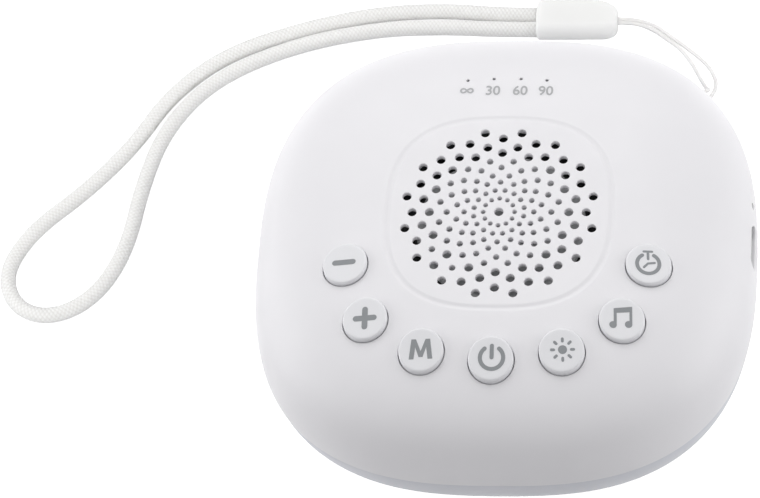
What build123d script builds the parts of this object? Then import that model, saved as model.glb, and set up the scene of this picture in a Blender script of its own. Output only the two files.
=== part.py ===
from build123d import *
import os
from math import cos, pi, radians, sin, sqrt, tan

# White noise sound machine: a rounded-square battery-powered speaker with seven
# push buttons, a night-light ring and a wrist strap. Millimetres, +Z up, the feet
# stand on z = 0, the buttons face -Y and the charging socket faces +X.

# ---------------------------------------------------------------- housing form
BODY_WIDTH = 101.4
BODY_SQUARENESS = 2.7
OUTLINE_POINTS = 28
DOME_HEIGHT = 20.0
DOME_EDGE_POWER = 3.3
DOME_CROWN_POWER = 2.55
RING_HEIGHT = 7.5
RING_STEPS = 3
BASE_HEIGHT = 5.5
UNDER_TUCK = 8.0
SEAM_STEP = 0.3
LIP_HEIGHT = 1.5
WALL = 2.2
TOP_WALL = 1.6
CEILING_SHARE = 0.97
DOME_STEPS = (0.0, 0.2, 0.42, 0.62, 0.78, 0.89, 0.945)
HOLLOW_STEPS = (0.0, 0.3, 0.6, 0.83)
BASE_STEPS = 4

# ---------------------------------------------------------------- clearances
RUNNING_GAP = 0.25
LOOSE_GAP = 0.15
CLOSE_GAP = 0.05
POST_GAP = 0.4
SPARE = 1.0
JOIN = 0.5

# ---------------------------------------------------------------- speaker grille
GRILLE_BACK = 0.5
PLATEAU_MARGIN = 1.375
PLATEAU_DROP = 0.25
GRILLE_THICK = 1.3
GROOVE_WIDTH = 0.8
GROOVE_DEPTH = 0.3
CENTRE_HOLE = 1.9
FINE_RINGS = ((3.13, 12, 0.9), (5.08, 16, 1.0), (6.96, 16, 1.1), (8.58, 16, 1.15),
              (10.45, 16, 1.25), (12.05, 16, 1.3))
COARSE_RINGS = ((13.91, 16, 1.85), (15.51, 16, 1.85), (17.39, 16, 1.85),
                (19.0, 16, 1.85))
FINE_HOLE_SIDES = 6

# ---------------------------------------------------------------- speaker
FLANGE_RADIUS = 21.0
FLANGE_THICK = 1.2
FLANGE_DROP = 7.4
GASKET_WIDTH = 1.35
FLANGE_FIT = 0.4
CHAMBER_WALL = 1.4
BASKET_RIM = 2.8
BASKET_FOOT_RADIUS = 10.4
BASKET_DEPTH = 8.4
BASKET_WALL = 0.8
SURROUND_WIDTH = 2.8
CONE_DEPTH = 3.0
CONE_THICK = 0.4
SURROUND_SEAT = 2.2
SURROUND_RISE = 0.5
ROLL_SHARE = 0.57
DUST_CAP_RISE = 1.8
DUST_CAP_SHARE = 0.6
COIL_RADIUS = 6.4
COIL_WALL = 0.35
COIL_LENGTH = 8.0
MAGNET_RADIUS = 10.2
MAGNET_ROOM = 1.4
TOP_PLATE_THICK = 1.4
PLATE_STEP = 0.6
BACK_PLATE_THICK = 1.4
POLE_RADIUS = 5.6
COIL_GAP = 0.35
RETAINER_THICK = 1.2
RETAINER_WIDTH = 3.6
RETAINER_BOSS_REACH = 26.2
RETAINER_BOSS_RADIUS = 2.1
EAR_RIM = 0.3
RETAINER_ANGLES = (0.0, 60.0, 120.0, 180.0)

# ---------------------------------------------------------------- buttons
BUTTON_ARC = {
    "minus_button": (201.24, 0.505),
    "plus_button": (223.73, 0.586),
    "mode_button": (246.14, 0.591),
    "power_button": (270.0, 0.597),
    "light_button": (293.86, 0.591),
    "sound_button": (316.27, 0.586),
    "timer_button": (338.76, 0.505),
}
CAP_RADIUS = 4.5
CAP_PROUD = 0.75
CAP_EDGE = 0.55
CAP_ROOF = 1.6
CAP_SKIRT = 1.0
SLOPE_STEP = 0.5
FLANGE_LIP = 0.95
FLANGE_PLATE = 0.9
STEM_RADIUS = 2.2
COLLAR_WALL = 1.2
COLLAR_FOOT_DROP = 6.1
BUTTON_TRAVEL = 0.35

# ---------------------------------------------------------------- main board
BOARD_THICK = 1.6
BOARD_TOP_DROP = 11.75
BOARD_GAP = 0.7
BOARD_WINDOW_RADIUS = 23.6
SWITCH_WIDTH = 6.0
SWITCH_HEIGHT = 3.4
SWITCH_WELL = 1.0
PLUNGER_RADIUS = 1.7
PLUNGER_PROUD = 0.95
SIDE_BOSS_INSET = 12.7
SIDE_BOSS_Y = 6.0
FRONT_BOSS_INSET = 10.7
FRONT_BOSS_X = 18.0
BACK_BOSS_INSET = 9.2
BOARD_BOSS_RADIUS = 2.6

# ---------------------------------------------------------------- small parts
TIMER_LIGHT_INSETS = ((-8.1, 17.8), (-2.8, 17.4), (2.7, 17.4), (8.0, 17.8))
PINHOLE_RADIUS = 0.3
GUIDE_PEG_RADIUS = 0.25
GUIDE_BAR = (20.0, 3.4, 1.4)
GUIDE_TOP_DROP = 5.0
GUIDE_LEG_RADIUS = 0.9
GUIDE_PEG_DROP = 0.4
LED_SIZE = (1.6, 0.8, 0.6)
SOUND_CHIP = (10.2, 5.4, 1.4)
SOUND_CHIP_PLACE = (-20.0, 12.8)
AMPLIFIER_CHIP = (5.1, 3.9, 1.2)
AMPLIFIER_CHIP_PLACE = (22.0, 9.8)
LEAD_PITCH = 1.27
LEAD_SIZE = (0.4, 1.0, 0.3)
LEAD_REACH = 0.3
CHIP_LIFT = 0.1
CAPACITOR_RADIUS = 2.5
CAPACITOR_HEIGHT = 5.4
SIDE_CAPACITORS = ((5.8, -6.0), (9.3, -11.0))
BACK_CAPACITOR = (8.0, 7.8)
USB_SIDE = 0.9
USB_SLOT = (9.8, 4.0)
USB_SHELL = (8.94, 3.26, 7.35)
USB_METAL = 0.3
USB_INSET = 0.6
USB_BACK = 1.0
USB_TONGUE = (6.7, 0.7, 5.2)
CHARGE_LIGHT_SIDE = 10.3
CHARGE_LIGHT_RADIUS = 0.45
CHARGE_LAMP = (2.0, 1.6, 1.6)

# ---------------------------------------------------------------- fasteners
BACK_POST_INSET = (16.7, 22.7)
FRONT_POST_INSET = (12.5, 27.7)
POST_RADIUS = 3.2
POST_LIFT = 1.5
PILOT_RISE = 4.0
CASE_SCREW = {"head": 2.3, "head_height": 1.6, "shank": 1.25, "length": 13.0}
SMALL_SCREW = {"head": 1.7, "head_height": 1.0, "shank": 0.85, "length": 4.0}
SCREW_FIT = 0.03
HEAD_RECESS = 2.0

# ---------------------------------------------------------------- power and light
BATTERY = (50.0, 34.0, 5.2)
BATTERY_EDGE = 1.6
BATTERY_GAP = 0.3
PAD_INSET = 2.0
BATTERY_PAD_THICK = 0.6
FLOOR_THICK = 1.8
TRAY_RIB = 1.2
TRAY_RIB_HEIGHT = 3.0
LIGHT_BOARD_GAP = 0.7
LIGHT_BOARD_BAND = 8.4
LIGHT_BOARD_THICK = 1.0
LIGHT_BOARD_LIFT = 3.4
LIGHT_COUNT = 10
LIGHT_BOSS_INSET = 3.5
LIGHT_BOSS_ANGLES = (0.0, 108.0, 180.0, 288.0)
LIGHT_LAMP = (1.6, 3.0, 1.2)
LAMP_INSET = 2.0
FOOT_RADIUS = 5.0
FOOT_PROUD = 1.0
FOOT_SET = 0.6
FOOT_CHAMFER = 0.3
FOOT_INSET = 16.4

# ---------------------------------------------------------------- strap
ANCHOR_ANGLE = 43.5
ANCHOR_Z = 19.0
ANCHOR_SLOT = (5.6, 2.6)
ANCHOR_DEPTH = 3.6
ANCHOR_PIN_RADIUS = 0.65
ANCHOR_PIN_INSET = 1.3
STRAP_DIAMETER = 3.4
STRING_DIAMETER = 0.9
SLEEVE_START = (2.1, 67.6)
SLEEVE_SIZE = (17.3, 7.4, 4.6)
SLEEVE_EDGE = 1.1
STRAP_SPREAD = 3.7
SLEEVE_RUN = 7.0
ARC_SHARE = 0.45
STRAP_ROUTE = (
    (-17.0, 70.7), (-32.0, 70.4), (-49.0, 66.2), (-64.5, 59.4), (-75.6, 49.2),
    (-82.8, 37.6), (-92.6, 26.6), (-102.9, 17.2), (-107.3, 8.3), (-106.6, 0.9),
    (-102.5, -5.0), (-95.8, -7.0), (-88.8, -4.4), (-84.0, 2.2), (-80.9, 12.6),
    (-79.4, 26.0), (-75.7, 40.6), (-66.4, 52.6), (-50.8, 61.1), (-33.0, 66.0),
    (-18.0, 66.5),
)

STRING_SPREAD = 1.4
STRING_GO = (
    (21.9, 68.3, 2.3), (25.3, 68.2, 0.5), (29.3, 66.6, 0.5), (33.3, 62.6, 0.5),
    (37.0, 58.4, 0.8), (39.4, 53.4, 3.6), (41.0, 47.6, 9.8), (41.9, 43.4, 15.4),
)
STRING_IN = ((-1.9, 3.2), (-1.15, 0.6))
STRING_OUT = ((1.15, 0.4), (1.4, 3.0))
STRING_COME = (
    (38.6, 43.6, 14.6), (37.6, 47.4, 10.2), (36.2, 52.6, 4.6), (34.2, 58.6, 0.7),
    (31.2, 62.4, 0.5), (27.6, 65.6, 0.5), (24.8, 66.8, 0.5), (21.8, 66.9, 2.3),
)

# ---------------------------------------------------------------- derived places
body_half = BODY_WIDTH / 2
base_z = FOOT_PROUD
ring_z = base_z + BASE_HEIGHT
seam_z = ring_z + RING_HEIGHT
top_z = seam_z + DOME_HEIGHT
plateau_z = top_z - PLATEAU_DROP
plateau_half = COARSE_RINGS[-1][0] + COARSE_RINGS[-1][2] / 2 + PLATEAU_MARGIN
hollow_half = body_half - WALL
hollow_height = DOME_HEIGHT - TOP_WALL
ceiling_z = seam_z + hollow_height * CEILING_SHARE
seam_half = body_half - SEAM_STEP
groove_half = plateau_half + GROOVE_WIDTH
flange_top = top_z - FLANGE_DROP
flange_foot = flange_top - FLANGE_THICK
chamber_radius = FLANGE_RADIUS + FLANGE_FIT
chamber_outer = chamber_radius + CHAMBER_WALL
gasket_outer = chamber_radius - CLOSE_GAP
gasket_inner = gasket_outer - GASKET_WIDTH
basket_top_radius = FLANGE_RADIUS - BASKET_RIM
surround_outer = FLANGE_RADIUS - SURROUND_SEAT
cone_radius = surround_outer - SURROUND_WIDTH
basket_foot = flange_foot - BASKET_DEPTH
board_top = top_z - BOARD_TOP_DROP
board_foot = board_top - BOARD_THICK
switch_top = board_top + SWITCH_HEIGHT
plunger_top = switch_top + PLUNGER_PROUD
collar_foot = top_z - COLLAR_FOOT_DROP
cap_flange_top = collar_foot - LOOSE_GAP
usb_z = board_foot - USB_SHELL[1] / 2
charge_z = board_foot - CHARGE_LAMP[2] / 2
guide_top = top_z - GUIDE_TOP_DROP
floor_z = base_z + FLOOR_THICK
light_board_z = floor_z + LIGHT_BOARD_LIFT
battery_top = floor_z + BATTERY_PAD_THICK + BATTERY[2]
post_foot = ring_z + POST_LIFT
back_post_x = body_half - BACK_POST_INSET[0]
back_post_y = body_half - BACK_POST_INSET[1]
front_post_x = body_half - FRONT_POST_INSET[0]
front_post_y = FRONT_POST_INSET[1] - body_half
case_posts = [(side * back_post_x, back_post_y) for side in (1, -1)]
case_posts += [(side * front_post_x, front_post_y) for side in (1, -1)]
board_bosses = [(side * (body_half - SIDE_BOSS_INSET), SIDE_BOSS_Y) for side in (1, -1)]
board_bosses += [(side * FRONT_BOSS_X, FRONT_BOSS_INSET - body_half) for side in (1, -1)]
board_bosses.append((0.0, body_half - BACK_BOSS_INSET))
timer_lights = [(x, body_half - inset) for x, inset in TIMER_LIGHT_INSETS]


def outline_reach(angle):
    """Distance from the middle to a rounded-square outline of half-width 1."""
    power = BODY_SQUARENESS
    return (abs(cos(angle)) ** power + abs(sin(angle)) ** power) ** (-1 / power)


def outline_share(x, y, half):
    """How far out (x, y) lies, as a share of the outline of that half-width."""
    power = BODY_SQUARENESS
    return (abs(x / half) ** power + abs(y / half) ** power) ** (1 / power)


def outline(half, z):
    """Closed rounded-square outline of one half-width, flat at height z."""
    points = []
    for step in range(OUTLINE_POINTS):
        angle = 2 * pi * (step + 0.5) / OUTLINE_POINTS
        reach = half * outline_reach(angle)
        points.append(Vector(reach * cos(angle), reach * sin(angle), z))
    return Wire([Spline(*points, periodic=True)])


def prism(half, low, high):
    """Upright rounded-square block."""
    return extrude(Face(outline(half, low)), high - low, dir=(0, 0, 1))


def dome_share(height_share):
    """Width share of the dome at a share of its height."""
    return (1 - height_share ** DOME_CROWN_POWER) ** (1 / DOME_EDGE_POWER)


def dome_rise(width_share):
    """Height share of the dome at a share of its width."""
    return (1 - width_share ** DOME_EDGE_POWER) ** (1 / DOME_CROWN_POWER)


def dome_height(x, y, half=body_half, height=DOME_HEIGHT):
    """Height of the dome's skin over the point (x, y)."""
    return seam_z + height * dome_rise(outline_share(x, y, half))


def dome(half, height, steps):
    """Closed dome over the seam, flat on top at the last of its steps."""
    wires = [outline(half * dome_share(step), seam_z + height * step) for step in steps]
    return Solid.make_loft(wires)


def under_half(z):
    """Half-width of the tucked-in lower half at height z."""
    depth_share = min((seam_z - z) / (RING_HEIGHT + BASE_HEIGHT), 1.0)
    return seam_half - UNDER_TUCK * (1 - sqrt(1 - depth_share ** 2))


def under_form(low, high, inset, steps):
    """Closed slice of the lower half between two heights, shrunk by an inset."""
    heights = [low + (high - low) * step / steps for step in range(steps + 1)]
    return Solid.make_loft([outline(under_half(z) - inset, z) for z in heights])


def rod(x, y, radius, low, high):
    """Upright cylinder between two heights."""
    return Pos(x, y, (low + high) / 2) * Cylinder(radius, high - low)


def tube(x, y, outer, inner, low, high):
    """Upright ring between two heights."""
    return rod(x, y, outer, low, high) - rod(x, y, inner, low, high)


def block(size, x, y, low):
    """Upright box that stands on a height."""
    return Pos(x, y, low + size[2] / 2) * Box(*size)


def screw_up(x, y, seat, screw, direction=1):
    """Pan-head screw whose head sits under the seat and whose shank goes up, or down at -1."""
    head = screw["head_height"] * direction
    shank = screw["length"] * direction
    return (rod(x, y, screw["head"], min(seat, seat - head), max(seat, seat - head))
            + rod(x, y, screw["shank"], min(seat, seat + shank), max(seat, seat + shank)))


def screws(places, seat, screw, direction=1):
    """A group of like screws, one at each place."""
    return Compound(children=[screw_up(x, y, seat, screw, direction) for x, y in places])


def side_plane(x, y, z):
    """Plane that faces +X, with its own X along the object's Y and its own Y upright."""
    return Plane(origin=(x, y, z), x_dir=(0, 1, 0), z_dir=(1, 0, 0))


def joined(pieces):
    """All pieces fused into one shape."""
    first, *rest = pieces
    return first.fuse(*rest)


def polar(angle, reach, x=0.0, y=0.0):
    """Point at an angle in degrees and a reach from a centre."""
    return x + reach * cos(radians(angle)), y + reach * sin(radians(angle))


def hollow_reach(angle, z):
    """Reach of the hollow under the dome at a height, in the direction of an angle in degrees."""
    return hollow_half * dome_share((z - seam_z) / hollow_height) * outline_reach(radians(angle))


def button_places():
    """Centre of each button: part of the way from the speaker chamber to the wall."""
    places = {}
    for name, (angle, share) in BUTTON_ARC.items():
        room = hollow_reach(angle, cap_flange_top) - chamber_outer
        places[name] = polar(angle, chamber_outer + share * room, 0.0, GRILLE_BACK)
    return places


def tray_half():
    """Half-width of the space inside the base tray."""
    return under_half(ring_z) - WALL - UNDER_TUCK / 2


buttons = button_places()
board_half = hollow_reach(0.0, board_top) - BOARD_GAP
light_board_half = tray_half() - LIGHT_BOARD_GAP
foot_reach = under_half(base_z) - FOOT_INSET


# ---------------------------------------------------------------- grille pattern
def ring_places(rings, first_number):
    """Hole centres of rings of holes; every second ring is turned half a step."""
    for number, (radius, count, size) in enumerate(rings, first_number):
        turn = 180 / count if number % 2 == 0 else 0.0
        for step in range(count):
            angle = 90 - turn - 360 * step / count
            yield polar(angle, radius, 0.0, GRILLE_BACK), size / 2


def grille_plate():
    """The flat middle of the top: a thin field of sound holes inside a thicker rim."""
    field_z = plateau_z - GRILLE_THICK
    sketch = Sketch() + Face(outline(plateau_half, 0.0))
    sketch -= Pos(0, GRILLE_BACK) * Circle(CENTRE_HOLE / 2)
    for (x, y), radius in ring_places(COARSE_RINGS, len(FINE_RINGS) + 1):
        sketch -= Pos(x, y) * Circle(radius)
    for (x, y), radius in ring_places(FINE_RINGS, 1):
        sketch -= Pos(x, y) * RegularPolygon(radius, FINE_HOLE_SIDES)
    rim = prism(plateau_half, ceiling_z, field_z)
    rim -= rod(0, GRILLE_BACK, gasket_inner, ceiling_z - SPARE, field_z + SPARE)
    return rim + Pos(0, 0, field_z) * extrude(sketch, GRILLE_THICK)


# ---------------------------------------------------------------- strap anchor frame
def anchor_plane():
    """Plane on the side wall: its normal points out of the wall at the strap."""
    angle = radians(ANCHOR_ANGLE)
    share = dome_share((ANCHOR_Z - seam_z) / DOME_HEIGHT)
    reach = body_half * share * outline_reach(angle)
    out = Vector(cos(angle), sin(angle), 0)
    return Plane(origin=(reach * out.X, reach * out.Y, ANCHOR_Z), x_dir=(-out.Y, out.X, 0), z_dir=out)


anchor = anchor_plane()


# ---------------------------------------------------------------- upper shell
def shell_ribs():
    """Collars, bosses, posts and the speaker chamber that hang from the dome."""
    reach = top_z - PLATEAU_DROP
    ribs = [rod(x, y, POST_RADIUS, seam_z, reach) for x, y in case_posts]
    ribs += [rod(x, y, BOARD_BOSS_RADIUS, board_top, reach) for x, y in board_bosses]
    collar = CAP_RADIUS + RUNNING_GAP + COLLAR_WALL
    ribs += [rod(x, y, collar, collar_foot, reach) for x, y in buttons.values()]
    for angle in RETAINER_ANGLES:
        x, y = polar(angle, RETAINER_BOSS_REACH, 0.0, GRILLE_BACK)
        ribs.append(rod(x, y, RETAINER_BOSS_RADIUS, flange_foot, reach))
    bar_length, bar_width, _ = GUIDE_BAR
    middle = sum(y for _, y in timer_lights) / len(timer_lights)
    ribs.append(block((bar_length, bar_width, reach - guide_top), 0, middle, guide_top))
    chamber = rod(0, GRILLE_BACK, chamber_outer, flange_foot, reach)
    ribs.append(chamber)
    width, height = ANCHOR_SLOT
    pocket = Box(width + 2 * WALL, height + 2 * WALL, ANCHOR_DEPTH + WALL)
    ribs.append(anchor * Pos(0, 0, -(ANCHOR_DEPTH + WALL) / 2) * pocket)
    return joined(ribs)


def shell_cuts():
    """Everything that is bored or cut out of the upper shell after its ribs."""
    above = top_z + SPARE
    cuts = [rod(x, y, CAP_RADIUS + RUNNING_GAP, collar_foot - SPARE, above) for x, y in buttons.values()]
    cuts += [rod(x, y, PINHOLE_RADIUS, guide_top - SPARE, above) for x, y in timer_lights]
    pilot = CASE_SCREW["shank"] + SCREW_FIT
    cuts += [rod(x, y, pilot, seam_z - SPARE, seam_z + PILOT_RISE) for x, y in case_posts]
    small = SMALL_SCREW["shank"] + SCREW_FIT
    depth = SMALL_SCREW["length"]
    cuts += [rod(x, y, small, board_foot, board_foot + depth + LOOSE_GAP) for x, y in board_bosses]
    for angle in RETAINER_ANGLES:
        x, y = polar(angle, RETAINER_BOSS_REACH, 0.0, GRILLE_BACK)
        seat = flange_foot - RETAINER_THICK
        cuts.append(rod(x, y, small, seat, seat + depth + LOOSE_GAP))
    cuts.append(rod(0, GRILLE_BACK, chamber_radius, flange_foot - SPARE, ceiling_z))
    slot = extrude(SlotOverall(*USB_SLOT), 2 * WALL, both=True)
    cuts.append(side_plane(body_half, USB_SIDE, usb_z) * slot)
    bore = Cylinder(CHARGE_LIGHT_RADIUS, 4 * WALL)
    cuts.append(side_plane(body_half, CHARGE_LIGHT_SIDE, charge_z) * bore)
    return cuts


def anchor_pocket():
    """Lanyard slot in the side wall, with an upright pin left across it."""
    width, height = ANCHOR_SLOT
    mouth = extrude(SlotOverall(width, height), ANCHOR_DEPTH)
    mouth = Pos(0, 0, -ANCHOR_DEPTH) * mouth + extrude(SlotOverall(width, height), WALL)
    pin = Rot(90, 0, 0) * Cylinder(ANCHOR_PIN_RADIUS, height + WALL)
    return anchor * (mouth - Pos(0, 0, -ANCHOR_PIN_INSET) * pin)


def upper_shell():
    """Domed top: outer skin, grille, groove, button collars and screw posts."""
    groove_step = dome_rise(groove_half / body_half)
    skin = dome(body_half, DOME_HEIGHT, DOME_STEPS + (groove_step,))
    hollow = dome(hollow_half, hollow_height, HOLLOW_STEPS + (CEILING_SHARE,))
    middle = dome(body_half - WALL / 2, DOME_HEIGHT - TOP_WALL / 2, HOLLOW_STEPS + (CEILING_SHARE,))
    shell = skin - hollow
    shell += shell_ribs() & middle
    groove_floor = seam_z + DOME_HEIGHT * groove_step - GROOVE_DEPTH
    shell -= prism(groove_half, groove_floor, top_z)
    shell -= prism(plateau_half, ceiling_z, top_z)
    shell = shell.cut(*shell_cuts())
    shell += [rod(x, y, POST_RADIUS, post_foot, seam_z) for x, y in case_posts]
    pilot = CASE_SCREW["shank"] + SCREW_FIT
    shell = shell.cut(*[rod(x, y, pilot, post_foot - SPARE, seam_z) for x, y in case_posts])
    shell -= anchor_pocket()
    return shell + grille_plate()


# ---------------------------------------------------------------- light ring and base
def light_ring():
    """Milky ring under the seam, with a lip that centres it in the upper shell."""
    ring = under_form(ring_z, seam_z, 0.0, RING_STEPS) - under_form(ring_z, seam_z, WALL, RING_STEPS)
    lip_half = hollow_half - LOOSE_GAP
    lip = prism(lip_half, seam_z - LIP_HEIGHT, seam_z + LIP_HEIGHT)
    lip -= prism(lip_half - WALL / 2, seam_z - 2 * LIP_HEIGHT, seam_z + 2 * LIP_HEIGHT)
    notch = extrude(SlotOverall(USB_SHELL[0] + SPARE, USB_SHELL[1] + SPARE), USB_SHELL[2])
    return ring + (lip - usb_frame() * notch)


def base_screw_cuts():
    """Countersinks and through holes for the case screws."""
    cuts = []
    for x, y in case_posts:
        cuts.append(rod(x, y, CASE_SCREW["head"] + RUNNING_GAP, base_z - SPARE, base_z + HEAD_RECESS))
        cuts.append(rod(x, y, CASE_SCREW["shank"] + RUNNING_GAP, base_z, post_foot + SPARE))
    return cuts


def lower_shell():
    """Base tray: floor, tucked wall, screw towers, light-board pads, battery ribs."""
    tray = under_form(base_z, ring_z, 0.0, BASE_STEPS)
    tray -= prism(tray_half(), floor_z, ring_z + SPARE)
    towers = [rod(x, y, POST_RADIUS + POST_GAP, floor_z - JOIN, post_foot) for x, y in case_posts]
    towers += [rod(x, y, BOARD_BOSS_RADIUS, floor_z - JOIN, light_board_z) for x, y in light_bosses()]
    length = BATTERY[0] + 2 * BATTERY_GAP
    width = BATTERY[1] + 2 * BATTERY_GAP
    outer = (length + 2 * TRAY_RIB, width + 2 * TRAY_RIB, TRAY_RIB_HEIGHT + JOIN)
    ribs = block(outer, 0, 0, floor_z - JOIN)
    ribs -= block((length, width, TRAY_RIB_HEIGHT + SPARE), 0, 0, floor_z)
    tray = tray.fuse(*towers, ribs)
    tray = tray.cut(*base_screw_cuts())
    tray = tray.cut(*[rod(x, y, FOOT_RADIUS + LOOSE_GAP, base_z - SPARE, base_z + FOOT_SET)
                      for x, y in foot_places()])
    pilot = SMALL_SCREW["shank"] + SCREW_FIT
    return tray.cut(*[rod(x, y, pilot, floor_z + LOOSE_GAP, light_board_z + SPARE)
                      for x, y in light_bosses()])


def foot_places():
    """Centres of the four feet."""
    return [(a * foot_reach, b * foot_reach) for a in (-1, 1) for b in (-1, 1)]


def light_bosses():
    """Centres of the light board's four screws."""
    return [polar(angle, light_board_half - LIGHT_BOSS_INSET) for angle in LIGHT_BOSS_ANGLES]


def rubber_feet():
    """Four stuck-on feet with a softened rim."""
    feet = []
    for x, y in foot_places():
        foot = rod(x, y, FOOT_RADIUS, 0.0, base_z + FOOT_SET)
        feet.append(chamfer(foot.edges().sort_by(Axis.Z)[0], FOOT_CHAMFER))
    return Compound(children=feet)


# ---------------------------------------------------------------- buttons
def cap_slope(x, y):
    """Slope of the dome at a button, as its two direction components."""
    step = SLOPE_STEP
    slope_x = (dome_height(x + step, y) - dome_height(x - step, y)) / (2 * step)
    slope_y = (dome_height(x, y + step) - dome_height(x, y - step)) / (2 * step)
    return slope_x, slope_y


def button(x, y):
    """Hollow push button whose top lies along the dome, with a retaining flange."""
    slope_x, slope_y = cap_slope(x, y)
    roof = dome_height(x, y) + CAP_PROUD
    flange_foot_z = cap_flange_top - FLANGE_PLATE
    top = Plane(origin=(x, y, roof), z_dir=(-slope_x, -slope_y, 1))
    body = rod(x, y, CAP_RADIUS, flange_foot_z, roof + CAP_RADIUS)
    body = split(body, bisect_by=top, keep=Keep.BOTTOM)
    body = fillet(body.faces().filter_by(top)[0].edges(), CAP_EDGE)
    flange = rod(x, y, CAP_RADIUS + FLANGE_LIP, flange_foot_z, cap_flange_top)
    stem = rod(x, y, STEM_RADIUS, plunger_top, flange_foot_z)
    hollow = tube(x, y, CAP_RADIUS - CAP_SKIRT, STEM_RADIUS, flange_foot_z, roof - CAP_ROOF - CAP_EDGE)
    return body + flange + stem - hollow


def switch_body(x, y):
    """Square tact switch with a round well for its plunger."""
    body = block((SWITCH_WIDTH, SWITCH_WIDTH, SWITCH_HEIGHT), x, y, board_top)
    return body - rod(x, y, PLUNGER_RADIUS + CLOSE_GAP, board_top + SWITCH_WELL, switch_top + SPARE)


def plunger(x, y):
    """Plunger that rides under a button's stem and leaves its travel below it."""
    low = board_top + SWITCH_WELL + BUTTON_TRAVEL + LOOSE_GAP
    return rod(x, y, PLUNGER_RADIUS, low, plunger_top)


# ---------------------------------------------------------------- main board
def main_board():
    """Ring-shaped board with clearance for the speaker, the posts and its screws."""
    board = prism(board_half, board_foot, board_top)
    cuts = [rod(0, GRILLE_BACK, BOARD_WINDOW_RADIUS, board_foot - SPARE, board_top + SPARE)]
    cuts += [rod(x, y, POST_RADIUS + POST_GAP, board_foot - SPARE, board_top + SPARE)
             for x, y in case_posts]
    shank = SMALL_SCREW["shank"] + RUNNING_GAP
    cuts += [rod(x, y, shank, board_foot - SPARE, board_top + SPARE) for x, y in board_bosses]
    width, height = ANCHOR_SLOT
    side = 2 * (WALL + POST_GAP)
    corner = Box(width + side, height + side, ANCHOR_DEPTH + WALL + POST_GAP)
    cuts.append(anchor * Pos(0, 0, -(ANCHOR_DEPTH + WALL) / 2) * corner)
    return board.cut(*cuts)


def chip(size, place):
    """Flat chip package on the board, with rows of leads along its long sides."""
    length, width, _ = size
    x, y = place[0], board_half - place[1]
    body = block(size, x, y, board_top + CHIP_LIFT)
    leads = []
    count = int(length / LEAD_PITCH)
    for step in range(count):
        along = x + (step - (count - 1) / 2) * LEAD_PITCH
        for side in (-1, 1):
            leads.append(block(LEAD_SIZE, along, y + side * (width / 2 + LEAD_REACH), board_top))
    return body.fuse(*leads)


def capacitors():
    """Three electrolytic cans that hang from the board's underside."""
    places = [(inset - board_half, y) for inset, y in SIDE_CAPACITORS]
    places.append((BACK_CAPACITOR[0], board_half - BACK_CAPACITOR[1]))
    low = board_foot - CAPACITOR_HEIGHT
    return [rod(x, y, CAPACITOR_RADIUS, low, board_foot) for x, y in places]


def light_guide():
    """Clear bar with a leg over each lamp and a peg up each pinhole."""
    middle = sum(y for _, y in timer_lights) / len(timer_lights)
    bar = block(GUIDE_BAR, 0, middle, guide_top - GUIDE_BAR[2])
    pieces = [bar]
    for x, y in timer_lights:
        pieces.append(rod(x, y, GUIDE_PEG_RADIUS, guide_top - JOIN, dome_height(x, y) - GUIDE_PEG_DROP))
        pieces.append(rod(x, y, GUIDE_LEG_RADIUS, board_top + LED_SIZE[2] + LOOSE_GAP, guide_top - JOIN))
    return joined(pieces)


def usb_shell():
    """Folded metal shell of the charging socket, soldered under the board's edge."""
    length, height, depth = USB_SHELL
    outer = extrude(SlotOverall(length, height), depth)
    inner = extrude(SlotOverall(length - 2 * USB_METAL, height - 2 * USB_METAL), depth)
    shell = outer - Pos(0, 0, USB_BACK) * inner
    return usb_frame() * shell


def usb_frame():
    """Plane at the socket's closed back: its mouth faces +X, just inside the wall's skin."""
    mouth = dome_edge_x(usb_z) - USB_INSET
    return side_plane(mouth - USB_SHELL[2], USB_SIDE, usb_z)


def dome_edge_x(z):
    """Reach of the dome along +X at height z."""
    return body_half * dome_share((z - seam_z) / DOME_HEIGHT)


def usb_tongue():
    """Contact tongue inside the charging socket."""
    width, thick, depth = USB_TONGUE
    return usb_frame() * Pos(0, 0, USB_BACK + depth / 2) * Box(width, thick, depth)


def charge_light():
    """Side-looking lamp behind the small hole beside the socket."""
    face_x = board_half - LOOSE_GAP
    tip_x = dome_edge_x(charge_z) - WALL / 2
    body = Pos(face_x - CHARGE_LAMP[0] / 2, CHARGE_LIGHT_SIDE, charge_z) * Box(*CHARGE_LAMP)
    lens = extrude(Circle(CHARGE_LIGHT_RADIUS - 2 * CLOSE_GAP), tip_x - face_x)
    return body + side_plane(face_x, CHARGE_LIGHT_SIDE, charge_z) * lens


# ---------------------------------------------------------------- speaker
def spun(points):
    """Solid of revolution about the speaker's axis from (radius, z) points."""
    face = make_face(Polyline(*[(r, 0, z) for r, z in points], close=True))
    return Pos(0, GRILLE_BACK, 0) * revolve(face, Axis.Z)


def speaker_frame():
    """Pressed basket: clamping flange, sloped wall and the plate over the magnet."""
    foot = basket_foot
    wall = BASKET_WALL
    top_in = basket_top_radius - wall
    foot_in = BASKET_FOOT_RADIUS - wall
    return spun([(FLANGE_RADIUS, flange_top), (FLANGE_RADIUS, flange_foot),
                 (basket_top_radius, flange_foot), (BASKET_FOOT_RADIUS, foot),
                 (COIL_RADIUS + COIL_WALL + COIL_GAP, foot),
                 (COIL_RADIUS + COIL_WALL + COIL_GAP, foot + wall),
                 (foot_in, foot + wall), (top_in, flange_foot + wall), (top_in, flange_top)])


def speaker_surround():
    """Rolled rubber edge between the basket's flange and the cone."""
    mid = (surround_outer + cone_radius) / 2
    roll = ROLL_SHARE * SURROUND_WIDTH / 2
    z = flange_top
    high = z + CONE_THICK
    return spun([(surround_outer, z), (surround_outer, high), (mid + roll, high),
                 (mid, high + SURROUND_RISE), (mid - roll, high), (cone_radius, high), (cone_radius, z)])


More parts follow.
